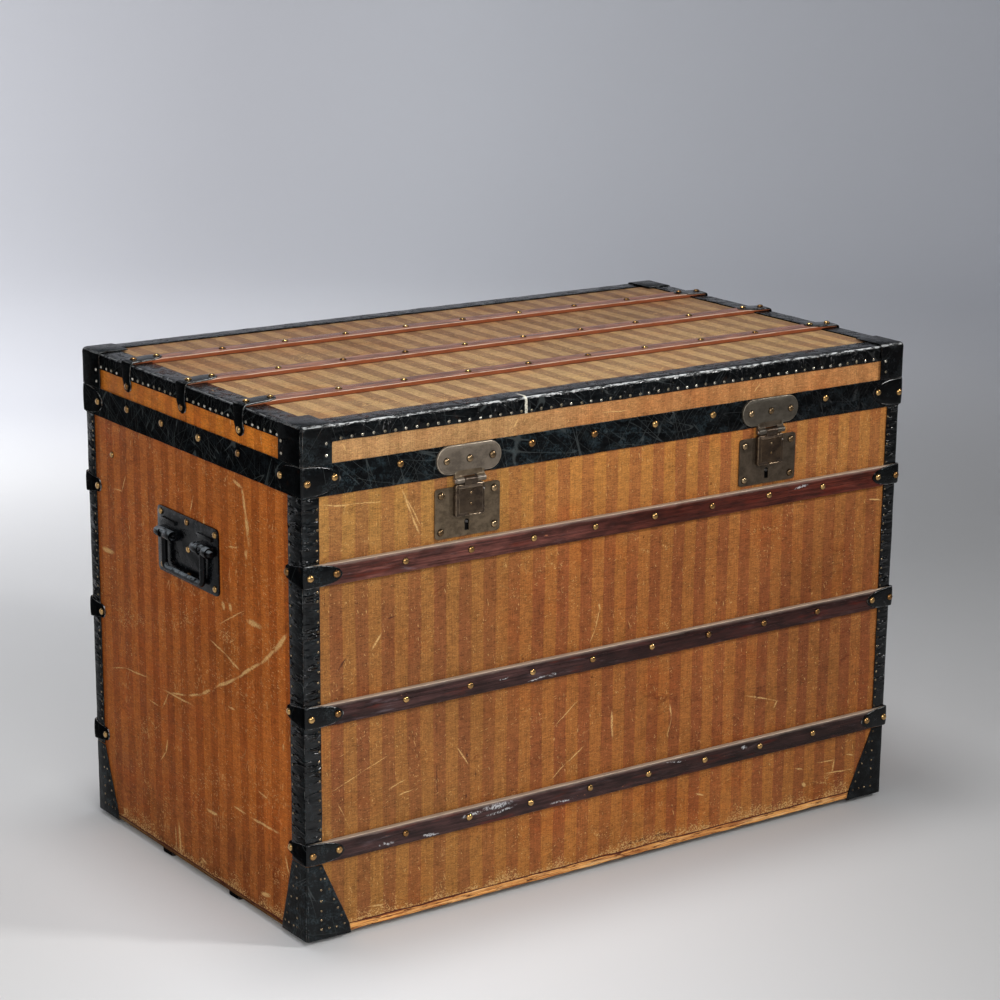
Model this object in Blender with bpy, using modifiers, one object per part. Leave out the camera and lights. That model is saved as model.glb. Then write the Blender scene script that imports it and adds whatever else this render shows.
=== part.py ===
"""Striped-canvas travel trunk: a flat-topped wooden case with iron trim, slats,
two hasp locks, a drop handle at each end and a hinged lid on folding stays.

Metres, +Z up. The trunk stands on its runners at Z = 0, centred on the
origin, with its front facing -Y and its lid hinge along the back.
"""

import math

import bmesh
import bpy
from mathutils import Matrix, Vector

MM = 0.001

# ---------------------------------------------------------------- sizes, mm
GAP = 0.3                 # between two pieces that touch
SHEET = 1.5               # thickness of the black iron trim

BODY_X, BODY_Y = 498.2, 293.7      # outer faces of the case boards
LID_X, LID_Y = 499.2, 294.7        # outer faces of the lid boards
BOARD = 10.0                       # board thickness
RUNNER_H = 8.5                     # runner height under the bottom
CASE_Z0 = 8.8                      # underside of the case boards
CASE_Z1 = 600.4                    # rim of the case
LID_Z0 = 601.0                     # rim of the lid
LID_Z1 = 689.7                     # top face of the lid board
CORNER_R = 4.0                     # rounding of the upright board edges

STRIP_FRONT, STRIP_SIDE = 23.0, 34.0        # corner strip flanges, front corners
STRIP_BACK, STRIP_BACK_SIDE = 32.0, 25.0    # and back corners
STRIP_Z0 = 112.6

SLAT_H = 28.5                       # height of the slats on front and back
SLAT_T = 6.6                        # their thickness
SLAT_Z = (500.2, 314.8, 129.2)      # centre heights, upper to lower
SLAT_END = 498.6                    # half length
SLAT_TAPER = 48.0                   # length of the thinned ends

CAP_TOP = 111.4                     # bottom cap: top of the wings
CAP_WING, CAP_WING_SIDE = 66.0, 62.0

RUNNER_Y, RUNNER_W, RUNNER_X = 94.0, 26.0, 494.0

BAND_Z1 = 641.6                     # top of the lid band
EDGING_Z0 = 669.2                   # lower edge of the lid edging
EDGING_TOP = 31.0                   # how far the edging runs in over the top
LIDCAP_FRONT, LIDCAP_SIDE = 44.0, 54.0
LIDCAP_Z0 = BAND_Z1 + 0.4

LID_SLAT_Y = (-143.5, 9.5, 163.5)   # front, middle, rear
LID_SLAT_W, LID_SLAT_T = 27.0, 6.0

LOCK_X = 252.5                      # locks at -LOCK_X and +LOCK_X
LOCK_W, LOCK_H, LOCK_T = 101.0, 66.8, 2.0
LOCK_Z = 552.4
LOCKCASE_W, LOCKCASE_H, LOCKCASE_D = 61.4, 58.0, 11.8
KEY_X, KEY_Z = -1.2, 537.4          # keyhole centre, from the lock's centre
KEY_R, KEY_PIN_R = 4.1, 2.0
BOLT_TRAVEL = 8.0

PILL_W, PILL_H, PILL_T = 100.0, 38.0, 2.5
PILL_Z = 622.6
HASP_AXIS_Y, HASP_AXIS_Z, HASP_R = -301.2, 594.8, 4.1
HASP_W, HASP_Z0, HASP_Z1 = 46.0, 546.2, 589.6
HASP_Y0, HASP_Y1 = -303.9, -297.0
HASP_KNUCKLE = 20.0
HASP_OPEN_DEG = 120.0

HINGE_X = 300.0                     # back hinges at -HINGE_X and +HINGE_X
HINGE_AXIS_Y, HINGE_AXIS_Z, HINGE_R = 302.0, 600.7, 4.2
HINGE_W, HINGE_PIN_R = 62.0, 2.0
LID_OPEN_DEG = 100.0

HANDLE_Y, HANDLE_W = 2.0, 166.0
HANDLE_Z0, HANDLE_Z1, HANDLE_T = 421.0, 512.6, 2.5
BAIL_AXIS_X, BAIL_AXIS_Z = 507.5, 479.0
BAIL_ROD_R, BAIL_ARM_Y, BAIL_DROP = 4.5, 53.0, 47.5
LOOP_R, LOOP_IN, LOOP_OUT = 7.2, 29.0, 70.0
HANDLE_LIFT_DEG = 90.0

# Lid stay, a parallel linkage: each point is (back, up) from the hinge axis.
STAY_CASE = (-124.0, -150.0)        # pivot on the case end board
STAY_LID = (-170.0, 52.0)           # pivot on the lid end board, lid shut
STAY_ELBOW = (STAY_CASE[0] + STAY_LID[0], STAY_CASE[1] + STAY_LID[1])
STAY_W, STAY_T = 14.0, 2.2
STAY_PIN_R = 2.5

# ------------------------------------------------------------ clean the file
for old in list(bpy.data.objects):
    bpy.data.objects.remove(old, do_unlink=True)

trunk = bpy.data.collections.new("travel_trunk")
cutters = bpy.data.collections.new("cutters")
bpy.context.scene.collection.children.link(trunk)
bpy.context.scene.collection.children.link(cutters)


# ----------------------------------------------------------------- materials
def material(name, colour, roughness, metallic=0.0):
    mat = bpy.data.materials.new(name)
    mat.use_nodes = True
    shader = mat.node_tree.nodes["Principled BSDF"]
    shader.inputs["Base Color"].default_value = (*colour, 1.0)
    shader.inputs["Roughness"].default_value = roughness
    shader.inputs["Metallic"].default_value = metallic
    mat.diffuse_color = (*colour, 1.0)
    return mat


CANVAS = (0.42, 0.20, 0.07)
WOOD = (0.40, 0.24, 0.12)
SLATWOOD = (0.10, 0.035, 0.025)
BLACK = (0.012, 0.013, 0.015)
BRONZE = (0.16, 0.13, 0.10)
IRON = (0.03, 0.03, 0.032)


# ------------------------------------------------------------------- helpers
def link(obj, collection=trunk):
    for other in list(obj.users_collection):
        other.objects.unlink(obj)
    collection.objects.link(obj)
    return obj


def smooth(obj, angle=35.0):
    obj.data.shade_smooth()
    obj.data.set_sharp_from_angle(angle=math.radians(angle))


def from_bmesh(name, bm, mat, collection=trunk):
    mesh = bpy.data.meshes.new(name)
    bmesh.ops.recalc_face_normals(bm, faces=bm.faces)
    bm.to_mesh(mesh)
    bm.free()
    obj = bpy.data.objects.new(name, mesh)
    if mat is not None:
        mesh.materials.append(mat)
    return link(obj, collection)


def box(name, low, high, mat, collection=trunk):
    """A box between two corners, with its origin at its centre."""
    low, high = Vector(low) * MM, Vector(high) * MM
    size = high - low
    bm = bmesh.new()
    bmesh.ops.create_cube(bm, size=1.0, matrix=Matrix.Diagonal((*size, 1.0)))
    obj = from_bmesh(name, bm, mat, collection)
    obj.location = (low + high) / 2
    return obj


def cylinder(name, start, end, radius, mat, segments=20, collection=trunk):
    """A round bar between two points."""
    start, end = Vector(start) * MM, Vector(end) * MM
    span = end - start
    bm = bmesh.new()
    bmesh.ops.create_cone(
        bm, cap_ends=True, segments=segments, radius1=radius * MM,
        radius2=radius * MM, depth=span.length,
    )
    obj = from_bmesh(name, bm, mat, collection)
    obj.location = (start + end) / 2
    obj.rotation_euler = span.to_track_quat("Z", "Y").to_euler()
    smooth(obj)
    return obj


def cutter(obj):
    link(obj, cutters)
    obj.hide_render = True
    obj.display_type = "WIRE"
    return obj


def boolean(obj, other, operation):
    mod = obj.modifiers.new(operation.lower() + "_" + other.name, "BOOLEAN")
    mod.operation = operation
    mod.solver = "EXACT"
    mod.object = cutter(other)
    return mod


def bevel(obj, width, segments=1, angle=40.0):
    mod = obj.modifiers.new("bevel", "BEVEL")
    mod.width = width * MM
    mod.segments = segments
    mod.limit_method = "ANGLE"
    mod.angle_limit = math.radians(angle)
    return mod


def rounded_rect(width, height, radius, steps=3):
    """Outline points of a rectangle with rounded corners, centred on 0, 0."""
    points = []
    for cx, cy, start in (
        (1, 1, 0), (-1, 1, 90), (-1, -1, 180), (1, -1, 270),
    ):
        for i in range(steps + 1):
            a = math.radians(start + 90 * i / steps)
            points.append((
                cx * (width / 2 - radius) + radius * math.cos(a),
                cy * (height / 2 - radius) + radius * math.sin(a),
            ))
    return points


def capsule(ax, ay, bx, by, radius, steps=6):
    """Outline of a bar with round ends from one point to another."""
    heading = math.atan2(by - ay, bx - ax)
    points = []
    for cx, cy, start in ((bx, by, heading - math.pi / 2), (ax, ay, heading + math.pi / 2)):
        for i in range(steps + 1):
            a = start + math.pi * i / steps
            points.append((cx + radius * math.cos(a), cy + radius * math.sin(a)))
    return points


def outline(name, points, thickness, mat, plane, location, collection=trunk):
    """A flat plate from its outline. plane is the two world axes it lies in:
    "XZ" seen from the front, "YZ" seen along -X, or "XY" seen from above."""
    curve = bpy.data.curves.new(name, "CURVE")
    curve.dimensions = "2D"
    curve.fill_mode = "BOTH"
    curve.extrude = thickness / 2 * MM
    spline = curve.splines.new("POLY")
    spline.points.add(len(points) - 1)
    for point, (u, v) in zip(spline.points, points):
        point.co = (u * MM, v * MM, 0.0, 1.0)
    spline.use_cyclic_u = True
    obj = bpy.data.objects.new(name, curve)
    if mat is not None:
        curve.materials.append(mat)
    link(obj, collection)
    half = math.pi / 2
    obj.rotation_euler = {
        "XY": (0.0, 0.0, 0.0), "XZ": (half, 0.0, 0.0), "YZ": (half, 0.0, half),
    }[plane]
    obj.location = Vector(location) * MM
    return obj


def as_mesh(obj):
    """The curve as a mesh object with its caps welded, in its place."""
    name = obj.name
    bpy.context.view_layer.update()
    graph = bpy.context.evaluated_depsgraph_get()
    mesh = bpy.data.meshes.new_from_object(obj.evaluated_get(graph))
    bm = bmesh.new()
    bm.from_mesh(mesh)
    bmesh.ops.remove_doubles(bm, verts=bm.verts, dist=1e-6)
    bmesh.ops.recalc_face_normals(bm, faces=bm.faces)
    bm.to_mesh(mesh)
    bm.free()
    place = obj.matrix_world.copy()
    bpy.data.objects.remove(obj, do_unlink=True)
    made = bpy.data.objects.new(name, mesh)
    link(made)
    made.matrix_world = place
    return made


def empty(name, location, parent=None):
    obj = bpy.data.objects.new(name, None)
    obj.empty_display_size = 0.03
    link(obj)
    obj.location = Vector(location) * MM
    if parent is not None:
        adopt(obj, parent)
    return obj


def origin_of(obj):
    """Where an unrotated empty stands in the world."""
    place = obj.location.copy()
    while obj.parent is not None:
        obj = obj.parent
        place += obj.location
    return place


def adopt(obj, parent):
    obj.parent = parent
    obj.location = obj.location - origin_of(parent)
    return obj


# ------------------------------------------------------------------- skeleton
case_axis = empty("case", (0, 0, 0))
lid_axis = empty("lid_axis", (0, HINGE_AXIS_Y, HINGE_AXIS_Z))


# ------------------------------------------------------------- case and boards
def board(name, low, high, parent, rounded=None):
    """A board; rounded picks the edges to round, from an edge's two ends."""
    obj = box(name, low, high, material(name, CANVAS, 0.75))
    if rounded is not None:
        weights = obj.data.attributes.new("bevel_weight_edge", "FLOAT", "EDGE")
        for edge in obj.data.edges:
            a, b = (obj.data.vertices[i].co for i in edge.vertices)
            if rounded(a, b):
                weights.data[edge.index].value = 1.0
        mod = obj.modifiers.new("corner", "BEVEL")
        mod.limit_method = "WEIGHT"
        mod.width = CORNER_R * MM
        mod.segments = 3
    adopt(obj, parent)
    return obj


def upright(a, b):
    return abs(a.z - b.z) > abs(a.x - b.x) + abs(a.y - b.y)


def front_upright(a, b):
    return upright(a, b) and a.y < 0


def back_upright(a, b):
    return upright(a, b) and a.y > 0


def upright_or_top(a, b):
    return upright(a, b) or (a.z > 0 and b.z > 0)


end_y = BODY_Y - BOARD - GAP
board("bottom_board", (-BODY_X + BOARD + GAP, -end_y, CASE_Z0),
      (BODY_X - BOARD - GAP, end_y, CASE_Z0 + BOARD), case_axis)
front_board = board("front_board", (-BODY_X, -BODY_Y, CASE_Z0),
                    (BODY_X, -BODY_Y + BOARD, CASE_Z1), case_axis, front_upright)
board("back_board", (-BODY_X, BODY_Y - BOARD, CASE_Z0),
      (BODY_X, BODY_Y, CASE_Z1), case_axis, back_upright)
board("left_board", (-BODY_X, -end_y, CASE_Z0),
      (-BODY_X + BOARD, end_y, CASE_Z1), case_axis)
board("right_board", (BODY_X - BOARD, -end_y, CASE_Z0),
      (BODY_X, end_y, CASE_Z1), case_axis)

lid_end_y = LID_Y - BOARD - GAP
lid_wall_top = LID_Z1 - BOARD - GAP
board("lid_top_board", (-LID_X, -LID_Y, LID_Z1 - BOARD),
      (LID_X, LID_Y, LID_Z1), lid_axis, upright_or_top)
board("lid_front_board", (-LID_X, -LID_Y, LID_Z0),
      (LID_X, -LID_Y + BOARD, lid_wall_top), lid_axis, front_upright)
board("lid_back_board", (-LID_X, LID_Y - BOARD, LID_Z0),
      (LID_X, LID_Y, lid_wall_top), lid_axis, back_upright)
board("lid_left_board", (-LID_X, -lid_end_y, LID_Z0),
      (-LID_X + BOARD, lid_end_y, lid_wall_top), lid_axis)
board("lid_right_board", (LID_X - BOARD, -lid_end_y, LID_Z0),
      (LID_X, lid_end_y, lid_wall_top), lid_axis)


# --------------------------------------------------------------- iron trim
def corner_path(x, y, flange_x, flange_y, radius, steps=3):
    """Plan of an angle strip at the corner (x, y), from its end along X,
    round the corner, to its end along Y."""
    sx, sy = math.copysign(1, x), math.copysign(1, y)
    points = [(x - sx * flange_x, y)]
    for i in range(steps + 1):
        a = math.pi / 2 * (1 - i / steps)
        points.append((
            x - sx * radius + sx * radius * math.cos(a),
            y - sy * radius + sy * radius * math.sin(a),
        ))
    points.append((x, y - sy * flange_y))
    return points


def wall_from_path(name, path, z0, z1, mat, outward, closed=False):
    """An open wall over a plan path, thickened outward with Solidify."""
    bm = bmesh.new()
    lower = [bm.verts.new((px * MM, py * MM, z0 * MM)) for px, py in path]
    upper = [bm.verts.new((px * MM, py * MM, z1 * MM)) for px, py in path]
    count = len(path)
    for i in range(count if closed else count - 1):
        j = (i + 1) % count
        bm.faces.new((lower[i], lower[j], upper[j], upper[i]))
    mesh = bpy.data.meshes.new(name)
    bm.normal_update()
    mid = bm.faces[:][len(path) // 2] if closed else bm.faces[:][0]
    centre = mid.calc_center_median()
    if mid.normal.dot(Vector((*outward(centre), 0.0))) < 0:
        bmesh.ops.reverse_faces(bm, faces=bm.faces)
    bm.to_mesh(mesh)
    bm.free()
    obj = bpy.data.objects.new(name, mesh)
    mesh.materials.append(mat)
    link(obj)
    mod = obj.modifiers.new("sheet", "SOLIDIFY")
    mod.thickness = SHEET * MM
    mod.offset = 1.0
    mod.use_even_offset = True
    return obj


CORNERS = (
    ("front_left", -1, -1), ("front_right", 1, -1),
    ("back_left", -1, 1), ("back_right", 1, 1),
)

for where, sx, sy in CORNERS:
    front = sy < 0
    strip = wall_from_path(
        "corner_strip_" + where,
        corner_path(sx * (BODY_X + GAP), sy * (BODY_Y + GAP),
                    STRIP_FRONT if front else STRIP_BACK,
                    STRIP_SIDE if front else STRIP_BACK_SIDE,
                    CORNER_R + GAP),
        STRIP_Z0, CASE_Z1 - 0.2,
        material("corner_strip_" + where, BLACK, 0.35, 0.2),
        lambda c, sy=sy: (0, sy),
    )
    adopt(strip, case_axis)


def capped_corner(name, sx, sy, x, y, z, flat_up, front, side, top, radius, mat):
    """Three sheet wings folded round one box corner at (x, y, z).

    front and side are outlines of the wings on the Y face and the X face, as
    (distance from the corner, height from z) pairs that start at the corner's
    base and end on the upright edge. top is how far the flat wing runs in
    along X and along Y. The upright fold is rounded to radius, and on a lid
    cap the folds over the top are too."""
    bm = bmesh.new()

    def vert(px, py, pz):
        return bm.verts.new((px * MM, py * MM, pz * MM))

    up = -1 if flat_up else 1
    corner = vert(x, y, z)
    tip = vert(x, y, z + up * front[-1][1])
    wing_a = [vert(x - sx * d, y, z + up * h) for d, h in front[:-1]]
    wing_b = [vert(x, y - sy * d, z + up * h) for d, h in side[:-1]]
    inner = vert(x - sx * top[0], y - sy * top[1], z)
    bm.faces.new([corner] + wing_a + [tip])
    bm.faces.new([tip] + wing_b[::-1] + [corner])
    bm.faces.new([corner, wing_b[0], inner, wing_a[0]])
    bmesh.ops.recalc_face_normals(bm, faces=bm.faces)
    flat = max(bm.faces, key=lambda f: abs(f.normal.z))
    if flat.normal.z * up > 0:
        bmesh.ops.reverse_faces(bm, faces=bm.faces)
    folds = [e for e in bm.edges if len(e.link_faces) == 2
             and (flat_up or abs(e.verts[0].co.z - e.verts[1].co.z) > MM)]
    bmesh.ops.bevel(bm, geom=folds, offset=radius * MM, segments=3,
                    affect="EDGES", profile=0.5)
    mesh = bpy.data.meshes.new(name)
    bm.to_mesh(mesh)
    bm.free()
    obj = bpy.data.objects.new(name, mesh)
    mesh.materials.append(mat)
    link(obj)
    mod = obj.modifiers.new("sheet", "SOLIDIFY")
    mod.thickness = SHEET * MM
    mod.offset = 1.0
    mod.use_even_offset = True
    smooth(obj)
    return obj


base = CASE_Z0 - GAP
for where, sx, sy in CORNERS:
    narrow = STRIP_FRONT if sy < 0 else STRIP_BACK
    narrow_side = STRIP_SIDE if sy < 0 else STRIP_BACK_SIDE
    wing = [(CAP_WING, 0), (CAP_WING - 2.5, 12), (narrow, CAP_TOP - base), (0, CAP_TOP - base)]
    wing_side = [(CAP_WING_SIDE, 0), (CAP_WING_SIDE - 2.5, 12),
                 (narrow_side, CAP_TOP - base), (0, CAP_TOP - base)]
    cap = capped_corner(
        "bottom_cap_" + where, sx, sy, sx * (BODY_X + GAP), sy * (BODY_Y + GAP),
        base, False, wing, wing_side, (CAP_WING, CAP_WING_SIDE), CORNER_R + GAP,
        material("bottom_cap_" + where, BLACK, 0.35, 0.2),
    )
    adopt(cap, case_axis)

band_r = CORNER_R + GAP
band_path = []
for sx, sy in ((1, 1), (-1, 1), (-1, -1), (1, -1)):
    x, y = sx * (LID_X + GAP), sy * (LID_Y + GAP)
    arc = corner_path(x, y, band_r, band_r, band_r)[1:-1]
    band_path += arc if sx * sy < 0 else arc[::-1]
band = wall_from_path("lid_band", band_path, LID_Z0 - 0.1, BAND_Z1,
                      material("lid_band", BLACK, 0.35, 0.2),
                      lambda c: (c.x, c.y), closed=True)
adopt(band, lid_axis)


def edging_ring():
    """Angle edging over the lid's top edge: an outer wall folded over the top."""
    bm = bmesh.new()
    rings = []
    outer_x, outer_y = LID_X + GAP, LID_Y + GAP
    top = LID_Z1 + GAP
    r = band_r
    profile = [(0.0, EDGING_Z0)]
    for i in range(4):
        a = math.pi / 2 * i / 3
        profile.append((r - r * math.cos(a), top - r + r * math.sin(a)))
    profile.append((EDGING_TOP, top))
    for inset, z in profile:
        ring = []
        rr = max(r - inset, 0.3)
        for sx, sy in ((1, 1), (-1, 1), (-1, -1), (1, -1)):
            x, y = sx * (outer_x - inset), sy * (outer_y - inset)
            arc = corner_path(x, y, rr, rr, rr)[1:-1]
            arc = arc if sx * sy < 0 else arc[::-1]
            ring += [bm.verts.new((px * MM, py * MM, z * MM)) for px, py in arc]
        rings.append(ring)
    count = len(rings[0])
    for lower, upper in zip(rings, rings[1:]):
        for i in range(count):
            j = (i + 1) % count
            bm.faces.new((lower[i], lower[j], upper[j], upper[i]))
    bm.normal_update()
    flat = max(bm.faces, key=lambda f: f.calc_area() * abs(f.normal.z))
    if flat.normal.z < 0:
        bmesh.ops.reverse_faces(bm, faces=bm.faces)
    mesh = bpy.data.meshes.new("lid_edging")
    bm.to_mesh(mesh)
    bm.free()
    obj = bpy.data.objects.new("lid_edging", mesh)
    mesh.materials.append(material("lid_edging", BLACK, 0.35, 0.2))
    link(obj)
    mod = obj.modifiers.new("sheet", "SOLIDIFY")
    mod.thickness = SHEET * MM
    mod.offset = 1.0
    mod.use_even_offset = True
    smooth(obj)
    return adopt(obj, lid_axis)


edging_ring()

over = 2 * GAP + SHEET                 # caps lie over the edging
for where, sx, sy in CORNERS:
    top = LID_Z1 + over
    height = top - LIDCAP_Z0
    wing = [(LIDCAP_FRONT, 0), (LIDCAP_FRONT, height), (0, height)]
    wing_side = [(LIDCAP_SIDE, 0), (LIDCAP_SIDE, height), (0, height)]
    cap = capped_corner(
        "lid_cap_" + where, sx, sy, sx * (LID_X + over), sy * (LID_Y + over),
        top, True, wing, wing_side, (LIDCAP_FRONT, LIDCAP_SIDE), CORNER_R + GAP + over - 0.8,
        material("lid_cap_" + where, BLACK, 0.35, 0.2),
    )
    adopt(cap, lid_axis)


# ------------------------------------------------------------------- slats
def slat_profile(half, step_at, rise, thick, taper, end_thick):
    """Half of a slat seen edge on, open at its middle: it lies on the board,
    steps up over the trim near its end and thins towards the end."""
    return [
        (0.0, 0.0), (step_at, 0.0), (step_at, rise), (half, rise),
        (half, rise + end_thick), (half - taper, thick), (0.0, thick),
    ]


def slat(name, points, length_axis, width, mat, rotation, location, parent):
    """The half profile extruded to the slat's width, then mirrored."""
    bm = bmesh.new()
    face = bm.faces.new([bm.verts.new((u * MM, v * MM, -width / 2 * MM)) for u, v in points])
    made = bmesh.ops.extrude_face_region(bm, geom=[face])
    moved = [g for g in made["geom"] if isinstance(g, bmesh.types.BMVert)]
    bmesh.ops.translate(bm, verts=moved, vec=(0, 0, width * MM))
    open_end = [f for f in bm.faces if all(abs(v.co.x) < 1e-9 for v in f.verts)]
    bmesh.ops.recalc_face_normals(bm, faces=bm.faces)
    bmesh.ops.delete(bm, geom=open_end, context="FACES_ONLY")
    mesh = bpy.data.meshes.new(name)
    bm.to_mesh(mesh)
    bm.free()
    obj = bpy.data.objects.new(name, mesh)
    mesh.materials.append(mat)
    link(obj)
    mod = obj.modifiers.new("mirror", "MIRROR")
    mod.use_axis = (True, False, False)
    mod.merge_threshold = 1e-5
    bevel(obj, 0.8, 1, 60)
    obj.rotation_euler = rotation
    obj.location = Vector(location) * MM
    return adopt(obj, parent)


side_slat = slat_profile(SLAT_END, BODY_X - max(STRIP_FRONT, STRIP_BACK) - 0.5,
                         SHEET + GAP, SLAT_T + 1.6, SLAT_TAPER, 2.6)
for level, z in zip(("upper", "middle", "lower"), SLAT_Z):
    slat("front_slat_" + level, side_slat, "X", SLAT_H,
         material("front_slat_" + level, SLATWOOD, 0.45),
         (math.pi, 0, 0), (0, -BODY_Y - GAP, z), case_axis)
    slat("back_slat_" + level, side_slat, "X", SLAT_H,
         material("back_slat_" + level, SLATWOOD, 0.45),
         (0, 0, 0), (0, BODY_Y + GAP, z), case_axis)

lid_slat = slat_profile(LID_X - 1.0, LID_X - EDGING_TOP - 0.5,
                        SHEET + GAP, LID_SLAT_T, SLAT_TAPER, 1.9)
for level, y in zip(("front", "middle", "rear"), LID_SLAT_Y):
    slat("lid_slat_" + level, lid_slat, "X", LID_SLAT_W,
         material("lid_slat_" + level, SLATWOOD, 0.45),
         (math.pi / 2, 0, 0), (0, y, LID_Z1 + GAP), lid_axis)

for level, y in (("front", -RUNNER_Y), ("rear", RUNNER_Y)):
    runner = box("bottom_runner_" + level, (-RUNNER_X, y - RUNNER_W / 2, 0),
                 (RUNNER_X, y + RUNNER_W / 2, RUNNER_H),
                 material("bottom_runner_" + level, WOOD, 0.6))
    adopt(runner, case_axis)


# -------------------------------------------------------------------- locks
plate_back = -BODY_Y - GAP
band_front = -(LID_Y + GAP + SHEET)

for hand, cx in (("left", -LOCK_X), ("right", LOCK_X)):
    # Pocket in the front board for the lock case.
    boolean(front_board, box(
        "lock_pocket_" + hand,
        (cx - LOCKCASE_W / 2 - GAP, -BODY_Y - 5, LOCK_Z - LOCKCASE_H / 2 - GAP),
        (cx + LOCKCASE_W / 2 + GAP, -BODY_Y + BOARD + 5, LOCK_Z + LOCKCASE_H / 2 + GAP),
        None), "DIFFERENCE")

    # Plate with its keyhole: a round hole over a square slot.
    plate = as_mesh(outline(
        "lock_plate_" + hand, rounded_rect(LOCK_W, LOCK_H, 4.5), LOCK_T,
        material("lock_plate_" + hand, BRONZE, 0.45, 0.8), "XZ",
        (cx, plate_back - LOCK_T / 2, LOCK_Z)))
    boolean(plate, cylinder(
        "keyhole_round_" + hand, (cx + KEY_X, plate_back + 4, KEY_Z),
        (cx + KEY_X, plate_back - 8, KEY_Z), KEY_R, None, 16), "DIFFERENCE")
    boolean(plate, box(
        "keyhole_slot_" + hand, (cx + KEY_X - 3.6, plate_back - 8, KEY_Z - 11.5),
        (cx + KEY_X + 3.6, plate_back + 4, KEY_Z - 2.0), None), "DIFFERENCE")
    adopt(plate, case_axis)

    # Lock case: a tray that opens towards the plate, with the drill pin.
    tray_y0 = -BODY_Y + 0.1
    tray_y1 = tray_y0 + LOCKCASE_D
    tray = box("lock_case_" + hand,
               (cx - LOCKCASE_W / 2, tray_y0, LOCK_Z - LOCKCASE_H / 2),
               (cx + LOCKCASE_W / 2, tray_y1, LOCK_Z + LOCKCASE_H / 2),
               material("lock_case_" + hand, BRONZE, 0.5, 0.8))
    wall = 1.6
    boolean(tray, box(
        "lock_hollow_" + hand,
        (cx - LOCKCASE_W / 2 + wall, tray_y0 - 3, LOCK_Z - LOCKCASE_H / 2 + wall),
        (cx + LOCKCASE_W / 2 - wall, tray_y1 - wall, LOCK_Z + LOCKCASE_H / 2 - wall),
        None), "DIFFERENCE")
    boolean(tray, cylinder(
        "drill_pin_" + hand, (cx + KEY_X, tray_y1 - wall / 2, KEY_Z),
        (cx + KEY_X, plate_back - LOCK_T - 0.4, KEY_Z), KEY_PIN_R, None, 14), "UNION")
    adopt(tray, case_axis)

    # Bolt, drawn back at rest.
    bolt_axis = empty("lock_bolt_axis_" + hand, (cx - 4, tray_y0 + 5, LOCK_Z + 14))
    adopt(bolt_axis, case_axis)
    bolt = box("lock_bolt_" + hand,
               (cx - 22, tray_y0 + 2.5, LOCK_Z + 9), (cx + 14, tray_y0 + 6.5, LOCK_Z + 19),
               material("lock_bolt_" + hand, BRONZE, 0.4, 0.9))
    bevel(bolt, 0.6)
    adopt(bolt, bolt_axis)

    # Hasp plate on the lid band: a pill with a neck and the outer knuckles.
    pill_y = band_front - GAP - PILL_T / 2
    pill = as_mesh(outline(
        "hasp_plate_" + hand, rounded_rect(PILL_W, PILL_H, PILL_H / 2 - 0.01, 6), PILL_T,
        material("hasp_plate_" + hand, BRONZE, 0.45, 0.8), "XZ", (cx, pill_y, PILL_Z)))
    boolean(pill, box(
        "hasp_neck_" + hand, (cx - HASP_W / 2, pill_y - PILL_T / 2, HASP_AXIS_Z + 0.5),
        (cx + HASP_W / 2, pill_y + PILL_T / 2 - 0.2, PILL_Z - 10), None), "UNION")
    for side in (-1, 1):
        a = cx + side * (HASP_KNUCKLE / 2 + 0.35)
        b = cx + side * HASP_W / 2
        boolean(pill, cylinder(
            "hasp_knuckle_%s_%s" % (hand, "a" if side < 0 else "b"),
            (min(a, b), HASP_AXIS_Y, HASP_AXIS_Z), (max(a, b), HASP_AXIS_Y, HASP_AXIS_Z),
            HASP_R, None, 18), "UNION")
    boolean(pill, box(
        "hasp_plate_notch_" + hand,
        (cx - HASP_KNUCKLE / 2 - 0.35, HASP_AXIS_Y - 6, HASP_AXIS_Z - 5),
        (cx + HASP_KNUCKLE / 2 + 0.35, pill_y + 4, HASP_AXIS_Z + 4.8), None), "DIFFERENCE")
    boolean(pill, cylinder(
        "hasp_pin_" + hand, (cx - HASP_W / 2 + 2, HASP_AXIS_Y, HASP_AXIS_Z),
        (cx + HASP_W / 2 - 2, HASP_AXIS_Y, HASP_AXIS_Z), 1.9, None, 12), "UNION")
    adopt(pill, lid_axis)

    # Hasp: a stamped flap with the middle knuckle and a thumb lip.
    hasp_axis = empty("hasp_axis_" + hand, (cx, HASP_AXIS_Y, HASP_AXIS_Z))
    adopt(hasp_axis, lid_axis)
    flap = box("hasp_" + hand, (cx - HASP_W / 2, HASP_Y0, HASP_Z0),
               (cx + HASP_W / 2, HASP_Y1, HASP_Z1),
               material("hasp_" + hand, BRONZE, 0.42, 0.8))
    bevel(flap, 1.6, 1)
    boolean(flap, box(
        "hasp_lip_" + hand, (cx - 4, HASP_Y0 - 2.3, HASP_Z0 + 0.2),
        (cx + 13.5, HASP_Y0 + 1.5, HASP_Z0 + 4.0), None), "UNION")
    boolean(flap, box(
        "hasp_tongue_" + hand, (cx - HASP_KNUCKLE / 2, HASP_AXIS_Y - 1.4, HASP_Z1 - 2.5),
        (cx + HASP_KNUCKLE / 2, HASP_AXIS_Y + 1.9, HASP_AXIS_Z - 1.0), None), "UNION")
    boolean(flap, cylinder(
        "hasp_mid_knuckle_" + hand, (cx - HASP_KNUCKLE / 2, HASP_AXIS_Y, HASP_AXIS_Z),
        (cx + HASP_KNUCKLE / 2, HASP_AXIS_Y, HASP_AXIS_Z), HASP_R, None, 18), "UNION")
    boolean(flap, cylinder(
        "hasp_bore_" + hand, (cx - 30, HASP_AXIS_Y, HASP_AXIS_Z),
        (cx + 30, HASP_AXIS_Y, HASP_AXIS_Z), 2.2, None, 12), "DIFFERENCE")
    adopt(flap, hasp_axis)


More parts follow.
